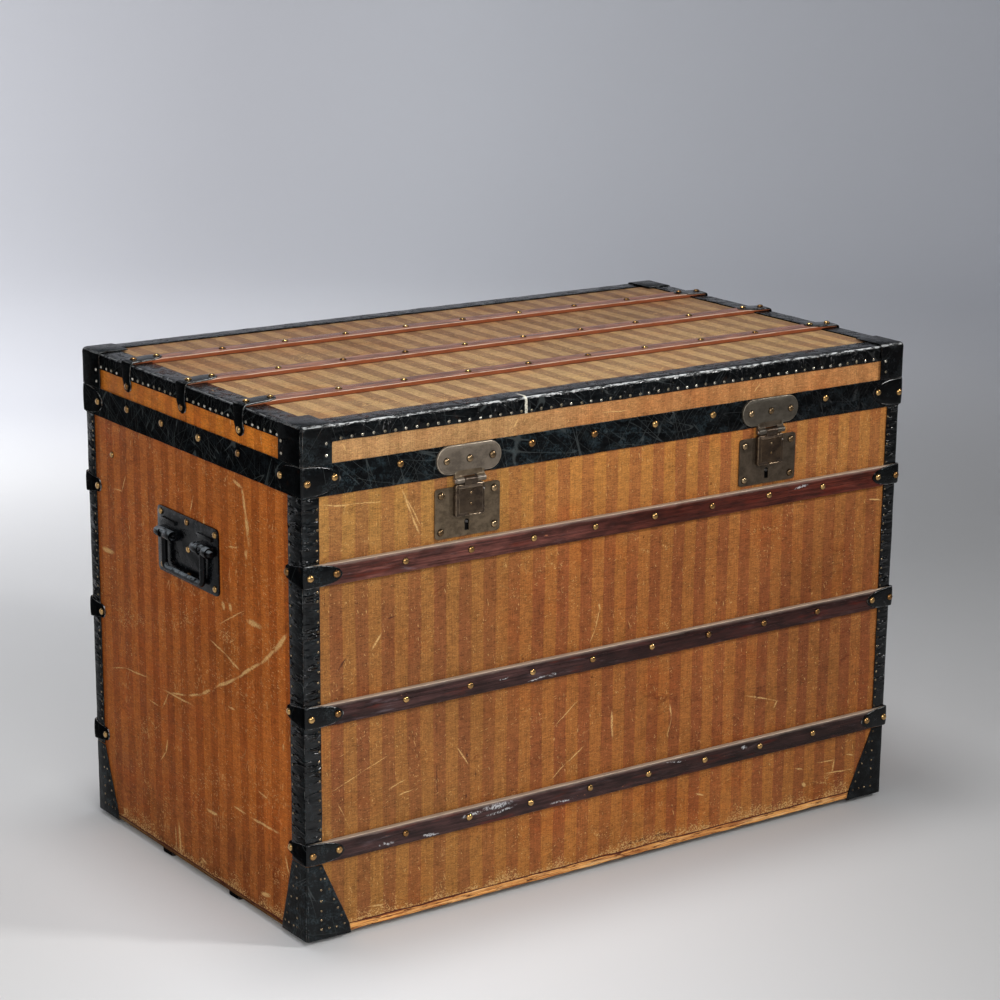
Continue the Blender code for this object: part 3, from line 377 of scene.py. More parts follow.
def lacquer(name, seed=0.0, scuff=0.5, brown=0.25, gloss=0.30, dust=0.3, tint=(4, 5, 6),
            dents=(24.0, 24.0, 17.0), dent=1.5, grey=(50, 60, 64), mirror=0.13, pebbled=0.09,
            crease=0.0, crease_size=(30.0, 30.0, 7.5), chip=None, ridge=0.0, deep=(13, 16, 18), proud=None, ior=1.5):
    """Black lacquered sheet: glossy, dented, scratched, worn on its edges, with painted edge highlights and painted
    shade.
    """
    t = Tree(name)
    here = t.v("ADD", t.place, (seed, seed * 1.7, seed * 0.6))
    base = t.mix(t.step(t.noise(here, 34.0, 4.0, 0.6), 0.40, 0.72), display(*tint), display(*deep))
    # Grey bloom and dust in clouds.
    cloud = t.step(t.noise(here, (20.0, 20.0, 13.0), 5.0, 0.70, 5.0), 0.44, 0.64)
    mottle = t.step(t.noise(here, 2.6, 4.0, 0.7, 9.0), 0.42, 0.60, 0.12, 1.0)
    cloud = t.m("MULTIPLY", cloud, mottle)
    base = t.mix(t.m("MULTIPLY", cloud, dust), base, display(*grey))
    # Brown where the lacquer is thin.
    thin = t.step(t.noise(here, (16.0, 16.0, 22.0), 5.0, 0.7, 13.0), 0.60, 0.76)
    base = t.mix(t.m("MULTIPLY", thin, brown), base, display(62, 40, 26))
    # Scratches are drawn on three planes, so that each face gets some.
    x, y, z = t.split(here)
    lines = None
    nx, ny, nz = (t.m("ABSOLUTE", part) for part in t.split(t.facing))
    for n, (flat, square) in enumerate(((t.join(x, z, 0.0), ny), (t.join(y, z, 0.0), nx), (t.join(x, y, 0.0), nz))):
        bent = t.warp(flat, 60.0, 2.0, n * 5.0)
        here_only = t.step(square, 0.72, 0.82)
        for k, (degrees, length, spacing) in enumerate(((38.0, 190.0, 11.0), (-52.0, 160.0, 12.0), (74.0, 150.0, 14.0), (12.0, 190.0, 16.0))):
            layer = t.scratches(bent, degrees + n * 21.0, length, spacing, 0.30, scuff, n * 4 + k + seed * 0.01)
            layer = t.m("MULTIPLY", layer, here_only)
            lines = layer if lines is None else t.m("MAXIMUM", lines, layer)
    chips = t.step(t.noise(here, 2.6, 4.0, 0.75, 19.0), 0.77 - 0.03 * scuff, 0.80 - 0.03 * scuff)
    lines = t.m("MAXIMUM", t.m("MULTIPLY", lines, 0.15), t.m("MULTIPLY", chips, 0.6))
    base = t.mix(lines, base, display(126, 134, 134))
    # Edges rubbed to grey metal and brown primer; the grey is also a painted highlight on the eased edges.
    rubbed = t.m("MULTIPLY", t.step(t.attribute("edge"), 0.3, 0.9),
                 t.step(t.noise(here, (9.0, 9.0, 12.0), 4.0, 0.7, 23.0), 0.44, 0.60))
    base = t.mix(t.m("MULTIPLY", rubbed, 0.75), base, t.mix(t.step(t.noise(here, 6.0, 2.0, 0.5, 27.0), 0.4, 0.6),
                                                            display(104, 88, 76), display(150, 152, 150)))
    rough = t.m("ADD", gloss, t.m("MULTIPLY", t.m("SUBTRACT", t.noise(here, 19.0, 5.0, 0.65, 31.0), 0.5), 0.34))
    rough = t.m("ADD", rough, t.m("MULTIPLY", t.m("MAXIMUM", lines, cloud), 0.16))
    normal = t.bump(t.noise(here, dents, 3.0, 0.55, 37.0), dent, strength=0.75)
    pebble = t.noise(here, 2.4, 3.0, 0.6, 43.0)
    # Painted shade: darker towards the right end, where the light falls off.
    base = t.shaded(base, (("x", -50.0, 320.0, (0.5, 0.45, 0.45)),))
    if ridge:
        # Painted highlight: the turned-over front edge drawn as a pale line, where it catches the top light.
        turned = t.m("MULTIPLY", t.step(t.m("MULTIPLY", t.m("MAXIMUM", t.m("MULTIPLY", nx, 0.86), ny), nz), 0.40, 0.48),
                     t.step(t.noise(here, (15.0, 15.0, 3.0), 4.0, 0.75, 63.0), 0.44, 0.58, 0.06, 1.0))
        base = t.mix(t.m("MULTIPLY", turned, ridge), base, display(196, 198, 198))
    if proud is not None:
        # Upward faces standing out from the side, lightened to steel grey: rubbed to the steel, and a painted highlight
        # where they catch the light.
        out = t.step(t.m("ABSOLUTE", t.split(t.place)[0]), proud, proud + 4.0)
        up = t.step(t.split(t.facing)[2], 0.25, 0.75)
        out = t.m("MULTIPLY", t.m("MULTIPLY", out, up), t.step(t.noise(here, 9.0, 4.0, 0.7, 67.0), 0.34, 0.58))
        base = t.mix(t.m("MULTIPLY", out, 0.75), base, display(128, 136, 142))
    if chip is not None:
        px, py, pz = t.split(t.place)
        across = t.m("ABSOLUTE", t.m("SUBTRACT", t.m("ADD", px, t.m("MULTIPLY", t.noise(here, 5.0, 3.0, 0.6, 47.0), 3.0)), chip + 1.5))
        paint = t.m("MULTIPLY", t.step(across, 2.5, 1.6), t.step(t.noise(here, 2.2, 3.0, 0.7, 51.0), 0.36, 0.48))
        paint = t.m("MULTIPLY", paint, t.step(py, -270.0, -286.0))
        base = t.mix(paint, base, display(206, 202, 186))
    if crease:
        fold = t.step(t.noise(here, crease_size, 2.0, 0.5, 55.0), 0.50, 0.74)
        where = t.step(t.noise(here, 46.0, 2.0, 0.5, 59.0), 0.36, 0.52)
        normal = t.bump(t.m("MULTIPLY", fold, where), crease, normal, 1.0)
    normal = t.bump(t.m("SUBTRACT", pebble, t.m("MULTIPLY", lines, 0.4)), pebbled, normal, 0.7)
    return t.finish(base, rough, normal, Specular_IOR_Level=mirror, IOR=ior)


def stained_wood(name, long_axis, dark, mid, worn, seed, wear=0.5, gloss=0.36, dusty=None, marks=(),
                 shades=(), bloom=0.30, flank=None, mirror=0.22, painted_rim=0.45, crest=None):
    """Stained and varnished slat wood with grain along one axis. Faces that
    look up are dusty and bleached."""
    t = Tree(name)
    here = t.v("ADD", t.place, (seed, seed * 0.7, seed * 1.9))

    def lay(long, cross):
        return {"x": (long, cross, cross), "y": (cross, long, cross)}[long_axis]

    grain = t.noise(t.warp(here, 40.0, 1.2, 2.0), lay(150.0, 2.2), 5.0, 0.62, 3.0)
    figure = t.noise(here, lay(320.0, 9.0), 3.0, 0.55, 7.0)
    colour = t.mix(t.step(grain, 0.30, 0.70), dark, mid)
    colour = t.mix(t.step(figure, 0.35, 0.7, 0.0, 0.6), colour, dark)
    blotch = t.step(t.noise(here, lay(38.0, 11.0), 4.0, 0.65, 9.0), 0.36, 0.64, 0.62, 1.35)
    colour = t.v("SCALE", colour, scale=blotch)
    pores = t.step(t.noise(here, lay(26.0, 0.9), 2.0, 0.5, 11.0), 0.60, 0.72)
    colour = t.mix(t.m("MULTIPLY", pores, 0.6), colour, display(22, 12, 10))
    red = t.step(t.noise(here, lay(70.0, 12.0), 3.0, 0.6, 13.0), 0.56, 0.72)
    colour = t.mix(t.m("MULTIPLY", red, 0.55), colour, display(98, 34, 16))
    # Stain rubbed through in patches and along the edges.
    patch = t.step(t.noise(here, lay(20.0, 6.0), 5.0, 0.74, 17.0), 0.735 - 0.10 * wear, 0.775 - 0.10 * wear)
    worn_edge = t.step(t.attribute("edge"), 0.3, 0.95)
    broken = t.step(t.noise(here, lay(24.0, 5.0), 4.0, 0.7, 19.0), 0.42, 0.56)
    colour = t.mix(t.m("MULTIPLY", t.m("MAXIMUM", patch, t.m("MULTIPLY", worn_edge, broken)), 0.75), colour, worn)
    grey = t.step(t.noise(here, lay(60.0, 9.0), 5.0, 0.7, 23.0), 0.56, 0.80)
    colour = t.mix(t.m("MULTIPLY", grey, bloom), colour, display(118, 104, 110))
    if flank is not None:
        # The long sides, where the stain has gone thin.
        upright = t.step(t.m("ABSOLUTE", t.split(t.facing)[1]), 0.45, 0.85)
        colour = t.mix(t.m("MULTIPLY", upright, t.step(grain, 0.2, 0.6, 0.45, 0.9)), colour, flank)
    colour = t.shaded(colour, shades)
    if dusty is not None:
        ridge = t.step(t.split(t.facing)[2], 0.10, 0.50)
        film = t.step(t.noise(here, lay(44.0, 8.0), 4.0, 0.65, 27.0), 0.25, 0.60, 0.35, 1.0)
        colour = t.mix(t.m("MULTIPLY", ridge, film), colour, dusty)
    # Painted highlight: a pale line on the faces between the front and the top, where the top edge catches the light.
    nx, ny, nz = t.split(t.facing)
    turned = t.step(t.m("MULTIPLY", t.m("ABSOLUTE", ny), nz), 0.24, 0.42)
    turned = t.m("MULTIPLY", turned, t.step(t.noise(here, lay(40.0, 6.0), 4.0, 0.7, 35.0), 0.34, 0.54, 0.3, 1.0))
    colour = t.mix(t.m("MULTIPLY", turned, painted_rim), colour, display(204, 182, 162))
    if crest is not None:
        # Dust and wear creep down from the top edge, with a painted highlight along it.
        high = t.m("ADD", t.split(t.place)[2], t.m("MULTIPLY", t.noise(here, lay(30.0, 5.0), 4.0, 0.7, 37.0), 5.0))
        colour = t.mix(t.step(high, crest + 11.5, crest + 16.5, 0.0, 0.34), colour, display(188, 166, 152))
    if marks:
        x, y, z = t.split(t.place)
        flat = t.join(x, z, 0.0)
        away = t.strokes(t.warp(t.warp(flat, 4.0, 1.6, seed), 22.0, 2.4, seed + 3.0), marks)
        flake = t.step(t.noise(here, 2.6, 3.0, 0.7, 33.0), 0.42, 0.54)
        paint = t.m("MULTIPLY", t.step(away, 1.2, 0.5), flake)
        outer = t.step(y, -296.0, -299.0)
        colour = t.mix(t.m("MULTIPLY", t.m("MULTIPLY", paint, outer), 0.85), colour, display(190, 190, 192))
    rough = t.m("ADD", gloss, t.m("MULTIPLY", t.m("SUBTRACT", t.noise(here, lay(320.0, 9.0), 4.0, 0.65, 29.0), 0.4), 0.34))
    normal = t.bump(t.m("SUBTRACT", grain, t.m("MULTIPLY", pores, 0.6)), 0.22, strength=0.7)
    normal = t.bump(t.noise(here, (40.0, 14.0, 14.0), 2.0, 0.5, 31.0), 0.9, normal, 0.4)
    return t.finish(colour, rough, normal, Specular_IOR_Level=mirror)


def metal(name, bright, dull, stain, seed, rough_low, rough_high, metallic=0.85, stained=0.5,
          brushed=0.0, edge_wear_and_highlight=None, shades=()):
    """Old plated metal: patches of bright and dull, stains in the corners."""
    t = Tree(name)
    here = t.v("ADD", t.place, (seed, seed * 1.3, seed * 0.4))
    cloud = t.noise(here, (17.0, 17.0, 13.0), 5.0, 0.66, 3.0)
    colour = t.mix(t.step(cloud, 0.34, 0.68), bright, dull)
    spots = t.step(t.noise(here, 3.6, 4.0, 0.7, 7.0), 0.58, 0.72)
    colour = t.mix(t.m("MULTIPLY", spots, stained), colour, stain)
    rough = t.step(t.noise(here, (11.0, 11.0, 9.0), 4.0, 0.6, 11.0), 0.3, 0.7, rough_low, rough_high)
    # Edges lighten: worn metal, and a painted highlight along the rims.
    if edge_wear_and_highlight is not None:
        edge = t.m("MULTIPLY", t.step(t.attribute("edge"), 0.2, 0.9), t.step(t.noise(here, 7.0, 3.0, 0.6, 13.0), 0.34, 0.56))
        colour = t.mix(t.m("MULTIPLY", edge, 0.85), colour, edge_wear_and_highlight)
    x, y, z = t.split(here)
    hair = t.scratches(t.warp(t.join(t.m("ADD", x, y), z, 0.0), 12.0, 1.4), 24.0, 30.0, 7.0, 0.22, 0.7, 3.0)
    hair = t.m("MAXIMUM", hair, t.scratches(t.join(t.m("ADD", x, y), z, 0.0), -48.0, 26.0, 8.0, 0.22, 0.6, 9.0))
    colour = t.mix(t.m("MULTIPLY", hair, 0.35), colour, bright)
    colour = t.shaded(colour, shades)
    grit = t.noise(here, 1.4, 3.0, 0.6, 17.0)
    height = t.m("SUBTRACT", t.m("ADD", grit, t.m("MULTIPLY", spots, -0.4)), t.m("MULTIPLY", hair, 0.4))
    normal = t.bump(t.noise(here, 15.0, 2.0, 0.5, 19.0), 0.5, strength=0.4)
    normal = t.bump(height, 0.07, normal, 0.7)
    return t.finish(colour, rough, normal, Metallic=metallic)


def nail_brass(name, bright, dull, stain, rough_low=0.16, rough_high=0.38):
    """Domed heads: each has its own tone, and painted shade darkens it round its foot."""
    t = Tree(name)
    tone = t.attribute("tone")
    painted_rim = t.attribute("painted_rim")
    colour = t.mix(t.step(tone, 0.1, 0.9), bright, dull)
    tarnish = t.step(t.noise(t.place, 3.0, 4.0, 0.7), 0.46, 0.70)
    colour = t.mix(t.m("MULTIPLY", tarnish, 0.55), colour, stain)
    # Painted shade round the foot of each head, where it meets the surface.
    colour = t.mix(t.step(painted_rim, 0.35, 0.95, 0.0, 0.92), colour, display(26, 19, 13))
    rough = t.m("ADD", t.step(tone, 0.0, 1.0, rough_low, rough_high), t.m("MULTIPLY", tarnish, 0.2))
    normal = t.bump(t.noise(t.place, 1.8, 3.0, 0.6, 3.0), 0.10, strength=0.5)
    return t.finish(colour, rough, normal, Metallic=0.92)


FRONT_LOOK = dict(
    along="x", light=display(165, 118, 61), dark=display(144, 94, 54), period=39.4, dark_at=-490.8,
    # shades: darker below the top and lighter near the foot; towards the right redder and darker, painted shade where
    # the light falls off.
    shades=(("z", 585.0, 430.0, (0.738, 0.632, 0.640)), ("x", -300.0, -60.0, (1.117, 0.962, 0.863)),
            ("x", 60.0, 330.0, (0.90, 0.91, 0.98)), ("z", 190.0, 90.0, (1.09, 1.12, 1.03))),
    inside=("y", -BODY_Y + 5.0, 1.0), seed=1.0, rub=0.45, foot=19.6, scratch=0.16,
    marks=(
        (-351, 592, -338, 558, 3.4), (-338, 558, -325, 531, 3.0), (-345, 581, -324, 542, 2.2),
        (-470, 589, -426, 584, 2.4), (-428, 585, -377, 580, 1.6), (-436, 586, -438, 573, 1.8),
        (-384, 407, -397, 389, 3.4), (-36, 389, -34, 381, 3.0), (-34, 381, -40, 356, 1.6),
        (-40, 356, -49, 337, 1.4), (-10, 231, -7, 193, 4.4), (92, 223, 96, 200, 3.0),
        (96, 200, 88, 175, 2.4), (231, 208, 290, 189, 2.2), (290, 189, 284, 180, 2.6),
        (440, 467, 474, 462, 2.2), (-458, 208, -414, 225, 1.4), (-414, 225, -373, 241, 1.2),
        (-370, 180, -335, 185, 2.0), (-373, 193, -348, 201, 2.2), (-266, 229, -247, 202, 2.4),
        (-57, 189, -86, 171, 2.0), (-86, 171, -110, 153, 1.4), (-67, 258, -108, 227, 1.6),
        (-450, 188, -434, 155, 1.6), (-406, 36, -381, 34, 2.6), (371, 79, 405, 76, 2.2),
        (404, 75, 402, 58, 3.2), (325, 79, 343, 73, 3.0), (384, 58, 450, 54, 2.2),
        (429, 81, 442, 76, 2.2), (347, 50, 350, 48, 6.0), (142, 78, 158, 73, 2.6),
    ),
    darks=(
        (-434, 387, -452, 367, 3.0), (-374, 426, -362, 427, 4.0), (-298, 215, -296, 162, 2.4),
        (-250, 217, -249, 214, 5.0), (-236, 188, -236, 183, 3.4), (-251, 160, -251, 156, 4.0),
        (-176, 150, -174, 150, 4.0), (-17, 16.5, 17, 16, 5.0), (20, 27, 60, 30, 5.0), (60, 30, 110, 27, 4.0),
    ),
    stains=(
        (-470, 598, -385, 595, 16), (-300, 480, -290, 420, 30), (45, 250, 125, 225, 44),
        (400, 300, 430, 192, 70), (380, 464, 398, 360, 50), (-227, 239, -236, 190, 12),
        (-318, 560, -312, 500, 22), (-186, 560, -180, 510, 24), (330, 560, 350, 500, 40),
        (-200, 598, -120, 596, 12), (-470, 540, -466, 440, 20), (240, 330, 300, 322, 30),
    ),
    haze=(
        (-154, 458, -66, 450, 20), (-15, 450, 138, 453, 22), (209, 453, 301, 448, 20),
        (-435, 77, -425, 24, 18), (-473, 459, -397, 456, 8), (330, 40, 440, 50, 40),
        (-410, 44, -340, 40, 24), (145, 262, 120, 252, 10), (-90, 62, 10, 48, 30),
    ),
)
SPLIT = 300.0
CANVAS_FRONT = canvas("canvas_front_high", zone=(SPLIT, 700.0), **FRONT_LOOK), canvas("canvas_front_low", zone=(0.0, SPLIT), **FRONT_LOOK)
CANVAS_BACK = canvas(
    "canvas_back", "x", display(150, 98, 46), display(130, 78, 42), 39.4, -486.0,
    ("y", BODY_Y - 5.0, -1.0), 8.0, rub=0.45, foot=19.6, scratch=0.35,
    marks=((-180, 420, -60, 360, 2.4), (210, 230, 260, 300, 2.2), (-350, 180, -250, 205, 2.0),
           (60, 70, 120, 92, 2.6), (380, 420, 400, 380, 3.0)),
    stains=((-100, 200, 60, 150, 60), (300, 520, 340, 440, 40), (-380, 500, -360, 400, 30)),
    haze=((-300, 60, -180, 44, 40), (100, 440, 300, 446, 20)),
)
LEFT_LOOK = dict(
    along="y", light=display(164, 91, 35), dark=display(139, 71, 25), period=40.4, dark_at=-257.1,
    shades=(("z", 170.0, 50.0, (0.84, 0.90, 1.10)), ("z", 30.0, 12.0, (0.55, 0.50, 0.50))), mirror=0.05, fleck=0.9, bare=0.22,
    inside=("x", -BODY_X + 5.0, 1.0), seed=3.0, rub=0.72, foot=15.0, scratch=0.22,
    marks=(
        (-120, 589, -143, 582, 5.0), (-143, 582, -151, 550, 6.9), (-151, 550, -158, 513, 8.8),
        (-151, 498, -150, 493, 9.4), (258, 409, 227, 410, 8.1), (-9, 539, -2, 521, 3.0),
        (-40, 518, -40, 504, 4.2), (182, 530, 193, 506, 2.0), (193, 506, 218, 504, 2.0),
        (-105, 496, -130, 501, 2.8), (-87, 414, -89, 410, 8.8), (-106, 416, -107, 410, 8.1),
        (-75, 383, -143, 419, 1.8), (-153, 407, -184, 407, 10.0), (-252, 415, -221, 385, 8.1),
        (-221, 385, -182, 357, 6.2), (-182, 357, -120, 320, 5.5), (-120, 320, -63, 291, 5.0),
        (-63, 291, -18, 268, 5.0), (-18, 268, 19, 257, 3.8), (19, 257, 62, 248, 3.0),
        (87, 246, -1, 247, 3.0), (131, 220, 92, 218, 2.2), (92, 218, 71, 246, 2.8),
        (242, 235, 201, 246, 2.0), (201, 246, 130, 251, 2.5), (-50, 355, -92, 345, 3.0),
        (-92, 345, -128, 334, 3.8), (-31, 108, -68, 108, 5.8), (-151, 135, -224, 136, 4.5),
        (-105, 136, -137, 135, 3.0), (78, 175, 84, 156, 3.8), (84, 156, 103, 137, 2.5),
        (51, 61, 47, 16, 6.9), (62, 52, 60, 18, 3.0), (-239, 263, -239, 257, 5.0),
        (-97, 274, -112, 274, 3.5), (-178, 36, -198, 39, 7.5), (-241, 108, -249, 86, 3.8),
        (-13, 30, -26, 26, 5.0), (218, 30, 215, 23, 4.2), (-170, 180, -196, 175, 2.8),
    ),
    darks=((-123, 79, -122, 64, 9.0), (210, 300, 216, 270, 2.0)),
    stains=(
        (-262, 590, -262, 480, 30), (200, 60, 240, 40, 60), (-220, 120, -200, 60, 60),
        (100, 580, 220, 560, 40), (-20, 100, 40, 60, 70), (240, 400, 250, 300, 40),
    ),
    haze=(
        (260, 320, 120, 330, 60), (110, 335, -40, 380, 64), (-60, 380, -140, 350, 40),
        (-200, 380, -240, 400, 30), (-150, 560, -160, 500, 14), (170, 160, 90, 200, 60),
        (-20, 150, -120, 180, 60), (-200, 60, -240, 90, 50), (230, 40, 60, 30, 30),
    ),
)
CANVAS_LEFT = canvas("canvas_left_high", zone=(SPLIT, 700.0), **LEFT_LOOK), canvas("canvas_left_low", zone=(0.0, SPLIT), **LEFT_LOOK)
CANVAS_RIGHT = canvas(
    "canvas_right", "y", display(156, 92, 42), display(134, 74, 35), 40.4, -250.0,
    ("x", BODY_X - 5.0, -1.0), 5.0, rub=0.55, foot=15.0, scratch=0.4,
    marks=((-150, 300, -20, 380, 3.0), (120, 220, 160, 160, 2.6), (-210, 140, -170, 170, 3.4),
           (60, 560, 90, 530, 2.4), (200, 340, 214, 300, 3.0)),
    stains=((-40, 120, 60, 90, 70), (180, 560, 230, 500, 40)),
    haze=((-220, 330, -60, 340, 60), (120, 120, 220, 90, 50)),
)
CANVAS_LID_FRONT = canvas(
    "canvas_lid_front", "x", display(178, 135, 88), display(164, 121, 78), 39.4, -480.0,
    ("y", -LID_Y + 5.0, 1.0), 11.0, contrast=0.8, rub=0.35, scratch=0.25, dirt=0.7,
    # Painted shade: darker and more orange towards the right, where the light falls off.
    shades=(("x", -200.0, 20.0, (1.0, 0.82, 0.70)),),
    marks=((-180, 652, -172, 664, 2.4), (-40, 655, 10, 652, 1.8), (225, 650, 236, 662, 2.0), (-440, 664, -432, 652, 2.6)),
)
CANVAS_LID_BACK = canvas(
    "canvas_lid_back", "x", display(174, 126, 76), display(158, 110, 66), 39.4, -480.0,
    ("y", LID_Y - 5.0, -1.0), 13.0, contrast=0.8, rub=0.35, scratch=0.30, dirt=0.7,
)
CANVAS_LID_LEFT = canvas(
    "canvas_lid_left", "y", display(190, 111, 36), display(167, 92, 30), 39.7, -268.8,
    ("x", -LID_X + 5.0, 1.0), 15.0, contrast=0.8, rub=0.5, scratch=0.2, dirt=0.8, mirror=0.05,
    marks=((-196, 650, -194, 664, 3.0), (-118, 662, -118, 668, 3.0)),
)
CANVAS_LID_RIGHT = canvas(
    "canvas_lid_right", "y", display(176, 110, 50), display(156, 90, 42), 39.7, -262.0,
    ("x", LID_X - 5.0, -1.0), 17.0, contrast=0.8, rub=0.4, scratch=0.35, dirt=0.8,
)
CANVAS_TOP = canvas(
    "canvas_top", "x", display(166, 134, 93), display(134, 103, 74), 39.0, -479.8,
    ("z", LID_Z1 - 5.0, -1.0), 19.0, contrast=1.12, rub=0.95, scratch=0.25, fleck=0.9,
    # Painted shade: darker towards the back of the top, which catches less light and sheen.
    shades=(("y", -200.0, 230.0, (0.80, 0.74, 0.75)),),
    marks=(
        (80, -212, 112, -207, 3.0), (-40, -227, -12, -224, 2.4), (-312, -88, -290, -90, 1.6),
        (205, -84, 231, -92, 1.6), (322, 68, 350, 79, 1.4), (-120, 73, -96, 68, 1.6),
        (-392, 226, -370, 232, 1.6), (60, 217, 81, 223, 1.4), (352, -194, 378, -188, 2.0),
    ),
    stains=((-200, -60, -100, -90, 50), (150, 120, 260, 100, 60), (-400, -220, -320, -240, 40)),
    haze=((-100, -220, 160, -215, 60), (250, -100, 380, -80, 60), (-350, 60, -250, 80, 70), (-400, -200, -300, -230, 50),
          (-120, -60, 0, -40, 60), (60, 60, 180, 40, 60), (-60, 220, 80, 240, 60)),
)

def with_shaded_ends(name, seed, end=(0.012, 0.25), **look):
    """One lacquer for the faces to the front and top, and a darker, duller copy for
    the two ends, a painted shade on the end faces; end is its mirror and its share of the dust."""
    # The ends' copy has a darker tint and deep colour and less dust: painted shade.
    return lacquer(name, seed, **look), lacquer(name + "_end", seed, **dict(
        look, mirror=end[0], dust=look["dust"] * end[1], ior=1.5 if end[0] > 0.03 else 1.22, deep=(5, 6, 7), tint=tuple(part * 0.5 for part in look.get("tint", (4, 5, 6)))))


BLACK_BAND = with_shaded_ends("black_band", 0.0, scuff=0.60, brown=0.10, gloss=0.26, dust=0.55, grey=(48, 62, 68))
BLACK_EDGING = with_shaded_ends("black_edging", 210.0, scuff=0.45, brown=0.35, gloss=0.14, dust=0.14, dents=(26.0, 26.0, 12.0),
                         dent=3.0, pebbled=0.12, mirror=0.22, crease=2.2, crease_size=(8.0, 8.0, 22.0), chip=-162.0, ridge=0.95)
BLACK_STRIP = with_shaded_ends("black_strip", 420.0, end=(0.05, 0.8), scuff=0.12, brown=0.16, gloss=0.10, dust=0.30, dents=(40.0, 40.0, 14.0),
                        dent=3.4, mirror=0.34, crease=5.0)
BLACK_CAP = with_shaded_ends("black_cap", 630.0, end=(0.06, 1.0), scuff=0.35, brown=0.40, gloss=0.34, dust=0.80, tint=(20, 22, 23), dent=1.2)
LID_CAP = with_shaded_ends("lid_cap", 730.0, scuff=0.15, brown=0.35, gloss=0.26, dust=0.50, tint=(8, 9, 10), dent=1.4, mirror=0.18, ridge=0.55)
BLACK_CLAMP = with_shaded_ends("black_clamp", 840.0, scuff=0.20, brown=0.25, gloss=0.18, dust=0.30, tint=(6, 7, 8), dent=1.0, mirror=0.22, ridge=0.6)
BLACK_HANDLE = lacquer("black_handle", 1050.0, scuff=0.22, brown=0.12, gloss=0.16, dust=0.10, tint=(3, 3, 4), grey=(30, 38, 50),
                       mirror=0.14, proud=504.0)
SLAT_MARKS = (
    (-262, 133, -232, 134, 7.0), (-226, 136, -184, 138, 9.0), (-222, 125, -176, 132, 4.0),
    (-395, 122, -372, 121, 5.0), (-327, 120, -300, 119, 4.0), (-119, 122, -80, 120, 3.0),
    (-203, 314, -192, 315, 2.2), (-157, 303, -126, 306, 2.4), (-122, 305, -112, 307, 4.0),
    (79, 140, 115, 136, 2.4), (221, 134, 226, 133, 6.0), (300, 505, 322, 507, 4.0),
)
SLAT_DUST = display(176, 158, 134)
# The slats' x shades: darker and redder towards the right, painted shade where the light and sheen fall off.
SLAT_UPPER = stained_wood("slat_upper", "x", display(60, 32, 28), display(112, 68, 60), display(180, 118, 84), 5.0,
                          0.55, 0.28, SLAT_DUST, SLAT_MARKS, bloom=0.75, crest=500.2,
                          shades=(("x", -200.0, 100.0, (0.66, 0.38, 0.28)),))
SLAT_MIDDLE = stained_wood("slat_middle", "x", display(34, 20, 19), display(70, 46, 44), display(168, 108, 76), 25.0,
                           0.45, 0.26, SLAT_DUST, SLAT_MARKS, bloom=0.50, crest=314.8,
                           shades=(("x", -180.0, 150.0, (0.82, 0.58, 0.52)),))
SLAT_LOWER = stained_wood("slat_lower", "x", display(34, 20, 19), display(70, 46, 44), display(168, 108, 76), 65.0,
                          0.50, 0.26, SLAT_DUST, SLAT_MARKS, bloom=0.55, crest=129.2,
                          shades=(("x", -180.0, 200.0, (0.60, 0.54, 0.50)),))
SLAT_RED = stained_wood("slat_red", "x", display(100, 58, 44), display(160, 108, 82), display(206, 144, 102), 45.0, 0.62, 0.26,
                        flank=display(136, 72, 42), mirror=0.22, painted_rim=0.75)
RUNNER = stained_wood("runner", "x", display(84, 52, 34), display(132, 88, 56), display(180, 132, 88), 95.0, 0.6, 0.55)
FLOORING = stained_wood("underside", "x", display(92, 62, 42), display(142, 104, 70), display(170, 130, 92), 135.0, 0.5, 0.6)
# The x shades darken the right-hand lock: painted shade, as the light falls off to the right.
BRONZE = metal("bronze", display(120, 104, 84), display(86, 73, 57), display(50, 38, 27), 3.0, 0.30, 0.44,
               0.65, 0.5, edge_wear_and_highlight=display(186, 170, 144), shades=(("x", -60.0, 60.0, (0.58, 0.58, 0.62)),))
PILL_BRONZE = metal("pill_bronze", display(120, 109, 96), display(92, 82, 71), display(60, 48, 38), 14.0, 0.36, 0.50,
                    0.45, 0.4, edge_wear_and_highlight=display(176, 162, 142), shades=(("x", -60.0, 60.0, (0.48, 0.50, 0.50)),))
HASP_BRONZE = metal("hasp_bronze", display(80, 66, 52), display(50, 39, 30), display(28, 21, 16), 9.0, 0.26, 0.42,
                    0.6, 0.6, edge_wear_and_highlight=display(124, 108, 88), shades=(("x", -60.0, 60.0, (0.85, 0.78, 0.70)),))
DARK_METAL = metal("dark_metal", display(84, 82, 80), display(48, 46, 45), display(66, 46, 32), 23.0, 0.36, 0.56,
                   0.75, 0.5, edge_wear_and_highlight=display(120, 116, 110))
STEEL = metal("stay_metal", display(168, 160, 146), display(122, 112, 98), display(84, 66, 48), 43.0, 0.26, 0.42,
              0.9, 0.4, edge_wear_and_highlight=display(206, 200, 188))
PIN = metal("pin_steel", display(200, 196, 188), display(160, 154, 144), display(110, 96, 80), 63.0, 0.18, 0.3, 0.95, 0.3)
BRASS = nail_brass("brass_nails", display(204, 164, 106), display(140, 102, 60), display(62, 40, 24), 0.12, 0.24)
TACK = nail_brass("steel_tacks", display(150, 132, 104), display(80, 66, 48), display(40, 34, 30), 0.16, 0.36)
EDGING_TACK = nail_brass("edging_tacks", display(206, 200, 186), display(132, 122, 102), display(48, 42, 36), 0.14, 0.30)
RIVET = nail_brass("bronze_rivets", display(166, 142, 110), display(110, 88, 62), display(52, 38, 28), 0.14, 0.26)


